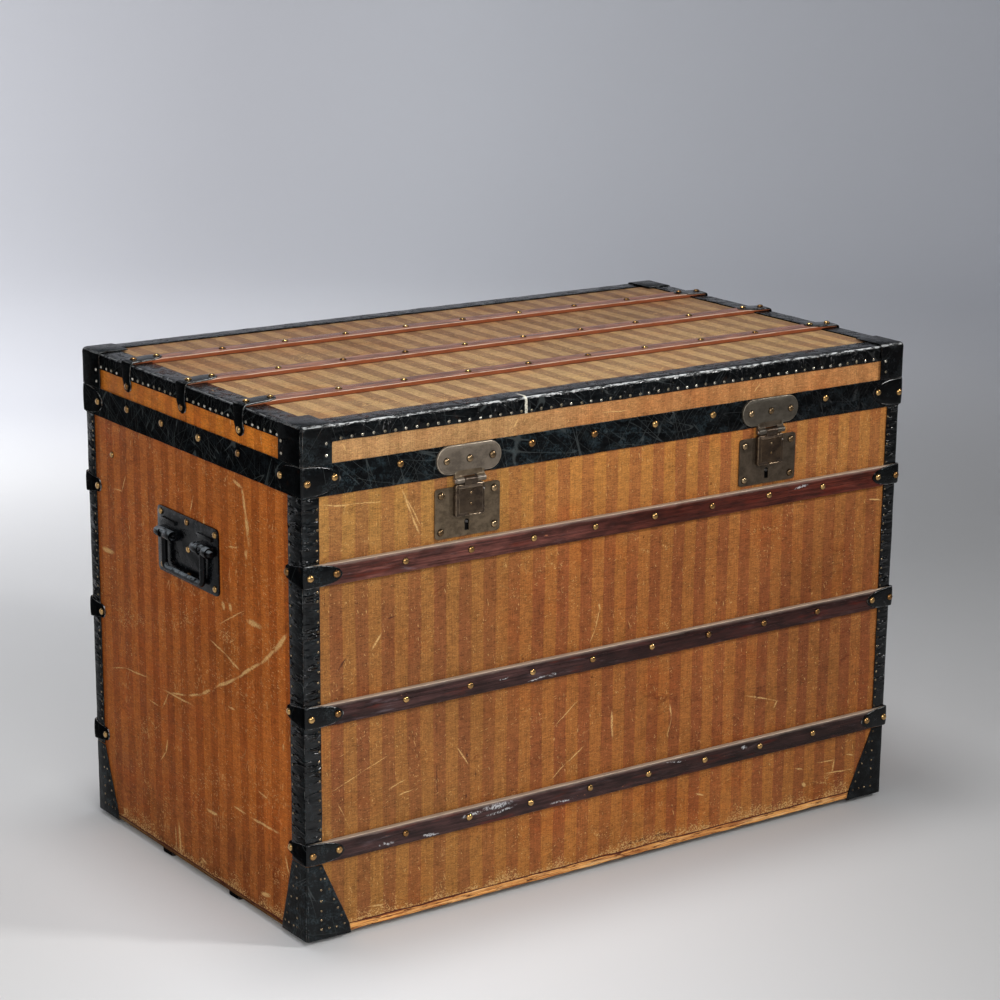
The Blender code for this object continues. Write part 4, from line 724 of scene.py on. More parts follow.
# ------------------------------------------------------------------- meshes
def new_piece(name, bm, mat, body, stands_for=(), smooth=35.0):
    """The bmesh as a piece that rides on a body."""
    mesh = bpy.data.meshes.new(name)
    bm.normal_update()
    bm.to_mesh(mesh)
    bm.free()
    mesh.shade_smooth()
    mesh.set_sharp_from_angle(angle=math.radians(smooth))
    for one in mat if isinstance(mat, tuple) else (mat,):
        mesh.materials.append(one)
    # Clamp faces to the two ends take the darker copy: painted shade.
    if mat is BLACK_CLAMP:
        for face in mesh.polygons:
            face.material_index = 1 if abs(face.normal.x) > 0.75 else 0
    obj = bpy.data.objects.new(name, mesh)
    bpy.context.scene.collection.objects.link(obj)
    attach(obj, body)
    if stands_for:
        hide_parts(*stands_for)
    return obj


def wobble(bm, amount, size, seed):
    """Moves the points a little, so that no sheet is dead straight."""
    shift = Vector((seed, seed * 1.3, seed * 0.7))
    for vert in bm.verts:
        place = vert.co / (size * MM) + shift
        vert.co += noise.noise_vector(place) * (amount * MM)


def cut_along(bm, axis, first, last, every):
    """Cuts across an axis at even steps, so that the mesh can bend."""
    normal = Vector([1.0 if i == axis else 0.0 for i in range(3)])
    count = max(1, round((last - first) / every))
    for i in range(1, count):
        at = first + (last - first) * i / count
        bmesh.ops.bisect_plane(bm, geom=bm.verts[:] + bm.edges[:] + bm.faces[:],
                               plane_co=normal * (at * MM), plane_no=normal, dist=1e-6)


def refined(node, mat, body, bevel=0.5, cuts=(), waves=None, name=None, smooth=35.0, sharp=30.0, ends=False):
    """A CAD node's own shape with its edges eased, dents and worn edges; the materials also use the worn edges for
    painted edge highlights.
    Two materials share it out: upper and lower part, or with ends the faces
    to the front and top and those to the two ends, which take the darker copy, a painted shade."""
    bm = bmesh.new()
    bm.from_mesh(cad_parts[node].data)
    bmesh.ops.remove_doubles(bm, verts=bm.verts, dist=3e-6)
    bmesh.ops.dissolve_limit(bm, angle_limit=math.radians(0.8), verts=bm.verts, edges=bm.edges)
    worn = bm.verts.layers.float.new("edge")
    if bevel:
        folds = [e for e in bm.edges if len(e.link_faces) == 2 and e.calc_face_angle(0.0) > math.radians(sharp)]
        result = bmesh.ops.bevel(bm, geom=folds, offset=bevel * MM, segments=2 if bevel < 0.6 else 3,
                                 profile=0.5, affect="EDGES", clamp_overlap=True)
        eased = set(result["faces"])
        for vert in bm.verts:
            if all(face in eased for face in vert.link_faces):
                vert[worn] = 1.0
    for axis, first, last, every in cuts:
        cut_along(bm, axis, first, last, every)
    if waves:
        wobble(bm, *waves)
    bm.normal_update()
    # The faces to the two ends take the second, darker material: painted shade.
    if ends:
        for face in bm.faces:
            face.material_index = 1 if abs(face.normal.x) > 0.75 else 0
    elif isinstance(mat, tuple):
        # Its upper part takes the first material, its lower part the second.
        bmesh.ops.bisect_plane(bm, geom=bm.verts[:] + bm.edges[:] + bm.faces[:],
                               plane_co=(0.0, 0.0, SPLIT * MM), plane_no=(0.0, 0.0, 1.0), dist=1e-6)
        for face in bm.faces:
            face.material_index = 0 if face.calc_center_median().z > SPLIT * MM else 1
    bmesh.ops.triangulate(bm, faces=[f for f in bm.faces if len(f.verts) > 4])
    return new_piece(name or node + "_look", bm, mat, body, (node,), smooth)


def basis(normal):
    normal = Vector(normal).normalized()
    side = normal.cross(Vector((0.0, 0.0, 1.0)))
    if side.length < 0.1:
        side = Vector((1.0, 0.0, 0.0))
    side.normalize()
    return side, normal.cross(side).normalized(), normal


def dome_layers(bm):
    return bm.verts.layers.float.new("painted_rim"), bm.verts.layers.float.new("tone")


def dome(bm, layers, centre, normal, radius, height, sides=14, sunk=0.5, tilt=5.0, flange=1.0, tone=None):
    """A domed nail head standing on the surface at centre, all in mm."""
    side, up, out = basis(normal)
    lean = Vector((rng.gauss(0, 1), rng.gauss(0, 1), 0)) * math.radians(tilt) * 0.5
    out = (out + side * lean.x + up * lean.y).normalized()
    side, up, out = basis(out)
    centre = Vector(centre)
    painted_rim, tone_layer = layers
    tone = rng.random() if tone is None else tone
    spread = radius * rng.uniform(0.96, 1.04)
    # The third number of each ring darkens the head toward its foot: painted shade.
    rings = ((1.0, -sunk, 1.0), (1.0 * flange, height * 0.10, 1.0), (0.93, height * 0.34, 0.75),
             (0.78, height * 0.66, 0.25), (0.52, height * 0.89, 0.0), (0.24, height * 0.985, 0.0))
    made = []
    for scale, rise, dark in rings:
        ring = []
        for i in range(sides):
            a = 2 * math.pi * i / sides
            point = centre + side * (spread * scale * math.cos(a)) + up * (spread * scale * math.sin(a)) + out * rise
            vert = bm.verts.new(point * MM)
            vert[painted_rim] = dark
            vert[tone_layer] = tone
            ring.append(vert)
        made.append(ring)
    for lower, upper in zip(made, made[1:]):
        for i in range(sides):
            j = (i + 1) % sides
            bm.faces.new((lower[i], lower[j], upper[j], upper[i]))
    apex = bm.verts.new((centre + out * height) * MM)
    apex[tone_layer] = tone
    for i in range(sides):
        bm.faces.new((made[-1][i], made[-1][(i + 1) % sides], apex))
    bm.faces.new(made[0][::-1])


def domes(name, places, body, radius, height, mat, slot, jitter=0.5, sides=14, **options):
    """One piece of many heads; places are (point, normal) pairs in mm."""
    bm = bmesh.new()
    layers = dome_layers(bm)
    for centre, normal in places:
        side, up, _ = basis(normal)
        centre = Vector(centre) + side * rng.gauss(0, jitter) + up * rng.gauss(0, jitter)
        dome(bm, layers, centre, normal, radius, height, sides, **options)
    return new_piece(name, bm, mat, body, smooth=60.0)


def tube(bm, points, radius, sides=16, round_ends=True):
    """A round bar along points, in mm; radius is a number or one per point."""
    points = [Vector(p) for p in points]
    radii = radius if isinstance(radius, (list, tuple)) else [radius] * len(points)
    if round_ends:
        start = (points[0] - points[1]).normalized()
        stop = (points[-1] - points[-2]).normalized()
        ra, rb = radii[0], radii[-1]
        points = [points[0] + start * ra * 0.42, points[0] + start * ra * 0.30] + points \
            + [points[-1] + stop * rb * 0.30, points[-1] + stop * rb * 0.42]
        radii = [ra * 0.55, ra * 0.85] + list(radii) + [rb * 0.85, rb * 0.55]
    heading = (points[1] - points[0]).normalized()
    side, up, _ = basis(heading)
    rings = []
    for i, (point, r) in enumerate(zip(points, radii)):
        new = (points[min(i + 1, len(points) - 1)] - points[max(i - 1, 0)]).normalized()
        turn = heading.rotation_difference(new)
        side, up = turn @ side, turn @ up
        heading = new
        rings.append([bm.verts.new((point + side * (r * math.cos(2 * math.pi * k / sides))
                                    + up * (r * math.sin(2 * math.pi * k / sides))) * MM) for k in range(sides)])
    for lower, upper in zip(rings, rings[1:]):
        for k in range(sides):
            j = (k + 1) % sides
            bm.faces.new((lower[k], lower[j], upper[j], upper[k]))
    bm.faces.new(rings[0][::-1])
    bm.faces.new(rings[-1])


def sheet(bm, rows, thick, worn):
    """A closed plate from rows of (point, outward normal, worn) in mm. The
    back lies thick behind the front along each point's normal."""
    front = [[bm.verts.new(Vector(p) * MM) for p, n, w in row] for row in rows]
    back = [[bm.verts.new((Vector(p) - Vector(n) * thick) * MM) for p, n, w in row] for row in rows]
    for verts, row in zip(front, rows):
        for vert, (p, n, w) in zip(verts, row):
            vert[worn] = w
    high, wide = len(rows), len(rows[0])
    for i in range(high - 1):
        for j in range(wide - 1):
            bm.faces.new((front[i][j], front[i][j + 1], front[i + 1][j + 1], front[i + 1][j]))
            bm.faces.new((back[i][j], back[i + 1][j], back[i + 1][j + 1], back[i][j + 1]))
    for i in range(high - 1):
        bm.faces.new((front[i][0], front[i + 1][0], back[i + 1][0], back[i][0]))
        bm.faces.new((front[i + 1][-1], front[i][-1], back[i][-1], back[i + 1][-1]))
    for j in range(wide - 1):
        bm.faces.new((front[0][j + 1], front[0][j], back[0][j], back[0][j + 1]))
        bm.faces.new((front[-1][j], front[-1][j + 1], back[-1][j + 1], back[-1][j]))
    bmesh.ops.recalc_face_normals(bm, faces=bm.faces)


def clamp(name, body, route, up, half_height, thick, crown, rough_seed, cross=11):
    """A stamped clamp bent over an edge. route is [(distance from its first
    tip, point, outward normal)] in mm, half_height gives half its width there."""
    bm = bmesh.new()
    worn = bm.verts.layers.float.new("edge")
    rows = []
    up = Vector(up)
    for s, point, normal in route:
        point, normal = Vector(point), Vector(normal).normalized()
        half = half_height(s)
        row = []
        for k in range(cross):
            t = math.sin(math.pi / 2 * (2.0 * k / (cross - 1) - 1.0))
            lift = thick + crown * (1.0 - t * t) ** 0.5 * min(1.0, half / 10.0)
            edge = 1.0 if abs(t) > 0.97 else 0.0
            if abs(t) > 0.999:
                lift = thick * 0.55
            row.append((point + up * (half * t) + normal * lift, normal, edge))
        rows.append(row)
    for index in (0, -1):
        rows[index] = [(p - n * thick * 0.4, n, 1.0) for p, n, w in rows[index]]
    sheet(bm, rows, thick * 1.0, worn)
    wobble(bm, 0.22, 14.0, rough_seed)
    return new_piece(name, bm, BLACK_CLAMP, body, smooth=50.0)


def around(sx, sy, front_run, side_run, corner, radius, steps=5):
    """Plan route of a clamp round the corner. front_run and side_run list
    (distance from the corner, how far out the surface is) from the corner
    outwards; corner is the (x, y) of the sharp corner of the surface."""
    cx, cy = corner
    route = []
    for d, y in reversed(front_run):
        route.append(((sx * (cx - d), sy * y, 0.0), (0.0, sy, 0.0)))
    x_out, y_out = side_run[0][1], front_run[0][1]
    for i in range(1, steps):
        a = math.pi / 2 * i / steps
        route.append(((sx * (x_out - radius + radius * math.sin(a)), sy * (y_out - radius + radius * math.cos(a)), 0.0),
                      (sx * math.sin(a), sy * math.cos(a), 0.0)))
    for d, x in side_run:
        route.append(((sx * x, sy * (cy - d), 0.0), (sx, 0.0, 0.0)))
    return route


def placed(route, z, start=0.0):
    """Adds the height and the running distance to a plan route."""
    out, s, last = [], start, None
    for (x, y, _), normal in route:
        point = Vector((x, y, z))
        if last is not None:
            s += (point - last).length
        last = point
        out.append((s, point, normal))
    return out


# --------------------------------------------------------- boards and canvas
BOARDS = (
    ("front_board", CANVAS_FRONT, "case"), ("back_board", CANVAS_BACK, "case"),
    ("left_board", CANVAS_LEFT, "case"), ("right_board", CANVAS_RIGHT, "case"),
    ("lid_top_board", CANVAS_TOP, "lid"), ("lid_front_board", CANVAS_LID_FRONT, "lid"),
    ("lid_back_board", CANVAS_LID_BACK, "lid"), ("lid_left_board", CANVAS_LID_LEFT, "lid"),
    ("lid_right_board", CANVAS_LID_RIGHT, "lid"),
)
for node, mat, body in BOARDS:
    refined(node, mat, body, bevel=0.9 if body == "case" else 0.4)
refined("bottom_board", FLOORING, "case", bevel=0.6)

# ------------------------------------------------------------------ the trim
for where, sx, sy in (("front_left", -1, -1), ("front_right", 1, -1), ("back_left", -1, 1), ("back_right", 1, 1)):
    refined("corner_strip_" + where, BLACK_STRIP, "case", bevel=0.35, ends=True,
            cuts=((2, 112.6, 600.2, 9.0),), waves=(0.42, 30.0, 3.0 + sx + sy))
    refined("bottom_cap_" + where, BLACK_CAP, "case", bevel=0.35, ends=True,
            cuts=((2, 8.5, 111.4, 9.0), (0, sx * 500.0, sx * 434.0, 9.0) if sx < 0 else (0, 434.0, 500.0, 9.0)),
            waves=(0.45, 24.0, 9.0 + sx + 2 * sy))
    refined("lid_cap_" + where, LID_CAP, "lid", bevel=0.35, ends=True,
            cuts=((2, 642.0, 691.8, 8.0),), waves=(0.35, 26.0, 15.0 + sx + 2 * sy))
refined("lid_band", BLACK_BAND, "lid", bevel=0.35, ends=True,
        cuts=((0, -501.0, 501.0, 14.0), (1, -296.5, 296.5, 14.0), (2, 600.9, 641.6, 9.0)), waves=(0.45, 34.0, 21.0))
refined("lid_edging", BLACK_EDGING, "lid", bevel=0.35, ends=True,
        cuts=((0, -501.0, 501.0, 12.0), (1, -296.5, 296.5, 12.0), (2, 669.2, 686.0, 6.0)), waves=(0.55, 26.0, 27.0))

# ----------------------------------------------------------- slats, runners
for level in ("upper", "middle", "lower"):
    for face in ("front", "back"):
        mat = {"upper": SLAT_UPPER, "middle": SLAT_MIDDLE, "lower": SLAT_LOWER}[level]
        refined("%s_slat_%s" % (face, level), mat, "case", bevel=1.7,
                cuts=((0, -498.0, 498.0, 30.0),), waves=(0.30, 60.0, 33.0 + len(level) + len(face)))
for level in ("front", "middle", "rear"):
    refined("lid_slat_" + level, SLAT_RED, "lid", bevel=1.8,
            cuts=((0, -498.0, 498.0, 30.0),), waves=(0.25, 60.0, 39.0 + len(level)))
for level in ("front", "rear"):
    refined("bottom_runner_" + level, RUNNER, "case", bevel=1.0)

# ------------------------------------------------------------------- clamps
CORNERS = (("front_left", -1, -1), ("front_right", 1, -1), ("back_left", -1, 1), ("back_right", 1, 1))


def slat_clamp_half(length_front, length_all):
    """Half height of a slat clamp: full over the slat, narrower round the side."""
    def half(s):
        if s <= length_front:
            t = 1.0 - s / length_front
            return max(14.7 * (1.0 - t ** 2.7) ** 0.5, 1.6)
        t = (s - length_front) / (length_all - length_front)
        body = 14.7 - 4.6 * min(1.0, t * 1.5)
        nose = (1.0 - max(0.0, (t - 0.72) / 0.28) ** 2.4) ** 0.5 if t < 1.0 else 0.0
        return max(body * nose, 1.4)
    return half


def fine(run):
    """More points between the given ones."""
    out = []
    for (d0, a0), (d1, a1) in zip(run, run[1:]):
        count = max(1, int(abs(d1 - d0) / 3.2))
        out += [(d0 + (d1 - d0) * i / count, a0 + (a1 - a0) * i / count) for i in range(count)]
    return out + [run[-1]]


for where, sx, sy in CORNERS:
    for level, z in zip(("upper", "middle", "lower"), SLAT_Z):
        # Out over the slat's thinned end, round the corner, on over the strip.
        front_run = fine([(5.0, 298.6), (47.0, 302.1), (50.0, 302.3), (53.5, 302.3)])
        side_run = fine([(5.0, 500.2), (33.0 if sy < 0 else 24.0, 500.1), (38.0 if sy < 0 else 30.0, 498.7), (48.0 if sy < 0 else 44.0, 498.6)])
        route = placed(around(sx, sy, front_run, side_run, (500.2, 298.6), 5.0), z)
        total = route[-1][0]
        clamp("slat_clamp_%s_%s" % (where, level), "case", route, (0, 0, 1),
              slat_clamp_half(53.5, total), 1.3, 1.1, 51.0 + z + sx + 2 * sy)

    # Band clamp on the lid: a long low arch each way from the corner.
    front_run = fine([(5.0, 296.7), (56.0, 296.6)])
    side_run = fine([(5.0, 501.2), (58.0, 501.1)])
    route = placed(around(sx, sy, front_run, side_run, (501.2, 296.7), 5.0), 621.8)
    total = route[-1][0]
    middle = total / 2.0

    def arch(s, middle=middle):
        t = abs(s - middle) / middle
        return max(19.4 * (1.0 - min(t, 1.0) ** 2.5) ** 0.5, 1.8)
    clamp("band_clamp_" + where, "lid", route, (0, 0, 1), arch, 1.3, 1.0, 71.0 + sx + 2 * sy, cross=13)

# Lid slat ends: over the top edge and down the end.
for level, y in zip(("front", "middle", "rear"), LID_SLAT_Y):
    for hand, s in (("left", -1), ("right", 1)):
        run = []
        length = 0.0
        plan = [(-52.0, 696.2), (-46.0, 696.1), (-4.5, 693.9)]
        points = []
        for (d0, z0), (d1, z1) in zip(plan, plan[1:]):
            count = max(2, int((d1 - d0) / 3.5))
            points += [((d0 + (d1 - d0) * i / count), z0 + (z1 - z0) * i / count, (0.05, 1.0)) for i in range(count)]
        r = 5.0
        cx, cz = -3.2, 693.9 - r
        for i in range(0, 7):
            a = math.pi / 2 * i / 6
            points.append((cx + r * math.sin(a), cz + r * math.cos(a), (math.sin(a), math.cos(a))))
        for i in range(1, 14):
            z = cz - (cz - 651.5) * i / 13
            out = 1.8 if z > 668.0 else 1.8 - 1.5 * min(1.0, (668.0 - z) / 6.0)
            points.append((out, z, (1.0, 0.0)))
        last = None
        for d, z, (nx, nz) in points:
            point = Vector((s * (500.0 + d - 0.6), y, z))
            if last is not None:
                length += (point - last).length
            last = point
            run.append((length, point, (s * nx, 0.0, nz)))
        total = length

        def half(at, total=total):
            if at < 22.0:
                return max(13.9 * (1.0 - (1.0 - at / 22.0) ** 2.2) ** 0.5, 1.6)
            if at < 54.0:
                return 13.9
            taper = 13.9 - 3.0 * min(1.0, (at - 54.0) / 14.0)
            left = total - at
            if left < 11.0:
                return max(taper * (1.0 - (1.0 - left / 11.0) ** 2.0) ** 0.5, 1.5)
            return taper
        clamp("lid_clamp_%s_%s" % (level, hand), "lid", run, (0, 1, 0), half, 1.2, 0.8, 91.0 + y + s)

# Runner ends: an iron shoe round each.
for level, y in (("front", -RUNNER_Y), ("rear", RUNNER_Y)):
    for hand, s in (("left", -1), ("right", 1)):
        bm = bmesh.new()
        worn = bm.verts.layers.float.new("edge")
        rows = []
        for z, out in ((0.15, 0.9), (1.2, 1.5), (4.5, 1.7), (8.0, 1.5), (8.45, 1.1)):
            row = []
            for i in range(19):
                t = i / 18.0
                if t < 0.36:
                    d, side = -26.0 + 22.0 * t / 0.36, -1
                    p, n = (s * (494.0 + d), y - 13.0, z), (0.0, -1.0, 0.0)
                elif t < 0.5:
                    a = math.pi / 2 * (t - 0.36) / 0.14
                    p, n = (s * (490.0 + 4.0 * math.sin(a)), y - 9.0 - 4.0 * math.cos(a), z), (s * math.sin(a), -math.cos(a), 0.0)
                elif t < 0.64:
                    a = math.pi / 2 * (t - 0.5) / 0.14
                    p, n = (s * (490.0 + 4.0 * math.cos(a)), y + 9.0 + 4.0 * math.sin(a), z), (s * math.cos(a), math.sin(a), 0.0)
                else:
                    d = -4.0 - 22.0 * (t - 0.64) / 0.36
                    p, n = (s * (494.0 + d), y + 13.0, z), (0.0, 1.0, 0.0)
                p = Vector(p) + Vector(n) * out
                row.append((p, n, 1.0 if z < 1.0 else 0.0))
            rows.append(row)
        sheet(bm, rows, 1.0, worn)
        new_piece("runner_shoe_%s_%s" % (level, hand), bm, BLACK_CLAMP, "case", smooth=50.0)

# -------------------------------------------------------------------- nails
slat_nails, clamp_nails_case, clamp_nails_lid, band_nails, top_nails = [], [], [], [], []
for z in SLAT_Z:
    for i in range(8):
        x = -352.0 + i * 100.6
        slat_nails.append(((x, -302.1, z + 1.0), (0, -1, 0)))
        slat_nails.append(((x + 2.0, 302.1, z), (0, 1, 0)))
    for where, sx, sy in CORNERS:
        clamp_nails_case.append(((sx * 493.0, sy * 301.2, z - 1.0), (0.0, sy, 0)))
        clamp_nails_case.append(((sx * 455.5, sy * 304.2, z + 1.0), (0.0, sy, 0)))
        clamp_nails_case.append(((sx * 500.9, sy * (259.0 if sy < 0 else 262.0), z), (sx, 0, 0)))
for x in (-355.5, -151.0, -50.0, 52.0, 152.5, 356.0):
    band_nails.append(((x, -296.3, 628.2), (0, -1, 0)))
    band_nails.append(((x, 296.3, 628.2), (0, 1, 0)))
for y in (-138.5, -35.5, 66.5, 165.5):
    band_nails.append(((-500.9, y, 627.6), (-1, 0, 0)))
    band_nails.append(((500.9, -y, 627.6), (1, 0, 0)))
for where, sx, sy in CORNERS:
    clamp_nails_lid.append(((sx * 494.0, sy * 298.8, 620.5), (0, sy, 0)))
    clamp_nails_lid.append(((sx * 454.0, sy * 298.4, 624.0), (0, sy, 0)))
    clamp_nails_lid.append(((sx * 503.0, sy * 249.0, 623.0), (sx, 0, 0)))
for y in LID_SLAT_Y:
    for i in range(8):
        top_nails.append(((-352.0 + i * 100.6, y, 695.8), (0, 0, 1)))
    for s in (-1, 1):
        clamp_nails_lid.append(((s * 490.0, y + 0.6, 696.0), (s * 0.08, 0, 1)))
        clamp_nails_lid.append(((s * 455.0, y - 0.4, 697.6), (s * 0.04, 0, 1)))
        clamp_nails_lid.append(((s * 501.4, y, 660.0), (s, 0, 0)))
domes("slat_nails", slat_nails, "case", 5.0, 3.1, BRASS, "bright_brass")
domes("case_clamp_nails", clamp_nails_case, "case", 5.2, 3.3, BRASS, "bright_brass", jitter=0.3)
domes("band_nails", band_nails, "lid", 5.4, 3.3, BRASS, "bright_brass")
domes("lid_clamp_nails", clamp_nails_lid, "lid", 5.1, 3.1, BRASS, "bright_brass", jitter=0.3)
domes("lid_slat_nails", top_nails, "lid", 5.0, 3.0, BRASS, "bright_brass")
domes("stray_nail", [((-498.3, 220.5, 553.0), (-1, 0, 0))], "case", 4.6, 3.0, BRASS, "bright_brass")

# Small tacks.
case_tacks, lid_tacks = [], []
for i in range(56):
    x = -443.5 + i * (887.0 / 55)
    lid_tacks.append(((x, -296.3, 672.8 + rng.gauss(0, 0.25)), (0, -1, 0)))
    lid_tacks.append(((x, 296.3, 672.8), (0, 1, 0)))
for i in range(32):
    y = -239.0 + i * (478.0 / 31)
    for s in (-1, 1):
        if all(abs(y - slat) > 14.0 for slat in LID_SLAT_Y):
            lid_tacks.append(((s * 500.8, y, 673.2), (s, 0, 0)))
for where, sx, sy in CORNERS:
    for z in (653.0, 669.0):
        lid_tacks.append(((sx * 465.5, sy * 298.1, z), (0, sy, 0)))
        lid_tacks.append(((sx * 502.6, sy * 251.5, z - 1.5), (sx, 0, 0)))
    front_edge = 500.0 - (23.0 if sy < 0 else 32.0) - 1.8 + 3.4
    side_edge = 295.5 - (34.0 if sy < 0 else 25.0) - 1.8 + 4.6
    z = 120.0
    while z < 592.0:
        if all(abs(z - slat) > 15.5 for slat in SLAT_Z):
            case_tacks.append(((sx * front_edge, sy * 295.4, z), (0, sy, 0)))
            case_tacks.append(((sx * 499.9, sy * side_edge, z + 4.0), (sx, 0, 0)))
        z += 13.3
    for z in (100.0, 84.4, 69.8, 54.7, 40.8, 27.6, 14.1):
        case_tacks.append(((sx * (500 - 22.0), sy * 295.4, z + 7), (0, sy, 0)))
        case_tacks.append(((sx * 499.9, sy * (295.5 - 24.0), z + 7), (sx, 0, 0)))
    for d, z in ((28.5, 84.4), (34.5, 69), (40.6, 53), (46.4, 39.4), (52.2, 27.2), (57.0, 14.7)):
        case_tacks.append(((sx * (500 - d), sy * 295.4, z + 7), (0, sy, 0)))
        case_tacks.append(((sx * 499.9, sy * (295.5 - d + 2.0), z + 7), (sx, 0, 0)))
    for d in (34.0, 45.0):
        case_tacks.append(((sx * (500 - d), sy * 295.4, 21.0), (0, sy, 0)))
        case_tacks.append(((sx * 499.9, sy * (295.5 - d), 21.0), (sx, 0, 0)))
domes("case_tacks", case_tacks, "case", 1.9, 1.0, TACK, "bright_brass", jitter=0.35, sides=9, sunk=0.4, tilt=9.0)
domes("lid_tacks", lid_tacks, "lid", 2.4, 1.5, EDGING_TACK, "bright_brass", jitter=0.35, sides=10, sunk=0.4, tilt=9.0)


# -------------------------------------------------------------------- locks
def rounded(width, height, radius, steps=6):
    points = []
    for cx, cy, start in ((1, 1, 0), (-1, 1, 90), (-1, -1, 180), (1, -1, 270)):
        for i in range(steps + 1):
            a = math.radians(start + 90 * i / steps)
            points.append((cx * (width / 2 - radius) + radius * math.cos(a),
                           cy * (height / 2 - radius) + radius * math.sin(a)))
    return points


def stamped(bm, worn, centre, width, height, radius, profile, steps=6):
    """A stamped plate facing -Y. profile is (inset, y) rings from the back
    edge to the middle, in mm; the middle is closed flat."""
    cx, cz = centre
    rings = []
    for n, (inset, y, w) in enumerate(profile):
        ring = []
        for u, v in rounded(width - 2 * inset, height - 2 * inset, max(radius - inset, 0.4), steps):
            vert = bm.verts.new(Vector((cx + u, y, cz + v)) * MM)
            vert[worn] = w
            ring.append(vert)
        rings.append(ring)
    count = len(rings[0])
    for lower, upper in zip(rings, rings[1:]):
        for i in range(count):
            j = (i + 1) % count
            bm.faces.new((lower[i], lower[j], upper[j], upper[i]))
    bm.faces.new(rings[0][::-1])
    bm.faces.new(rings[-1])


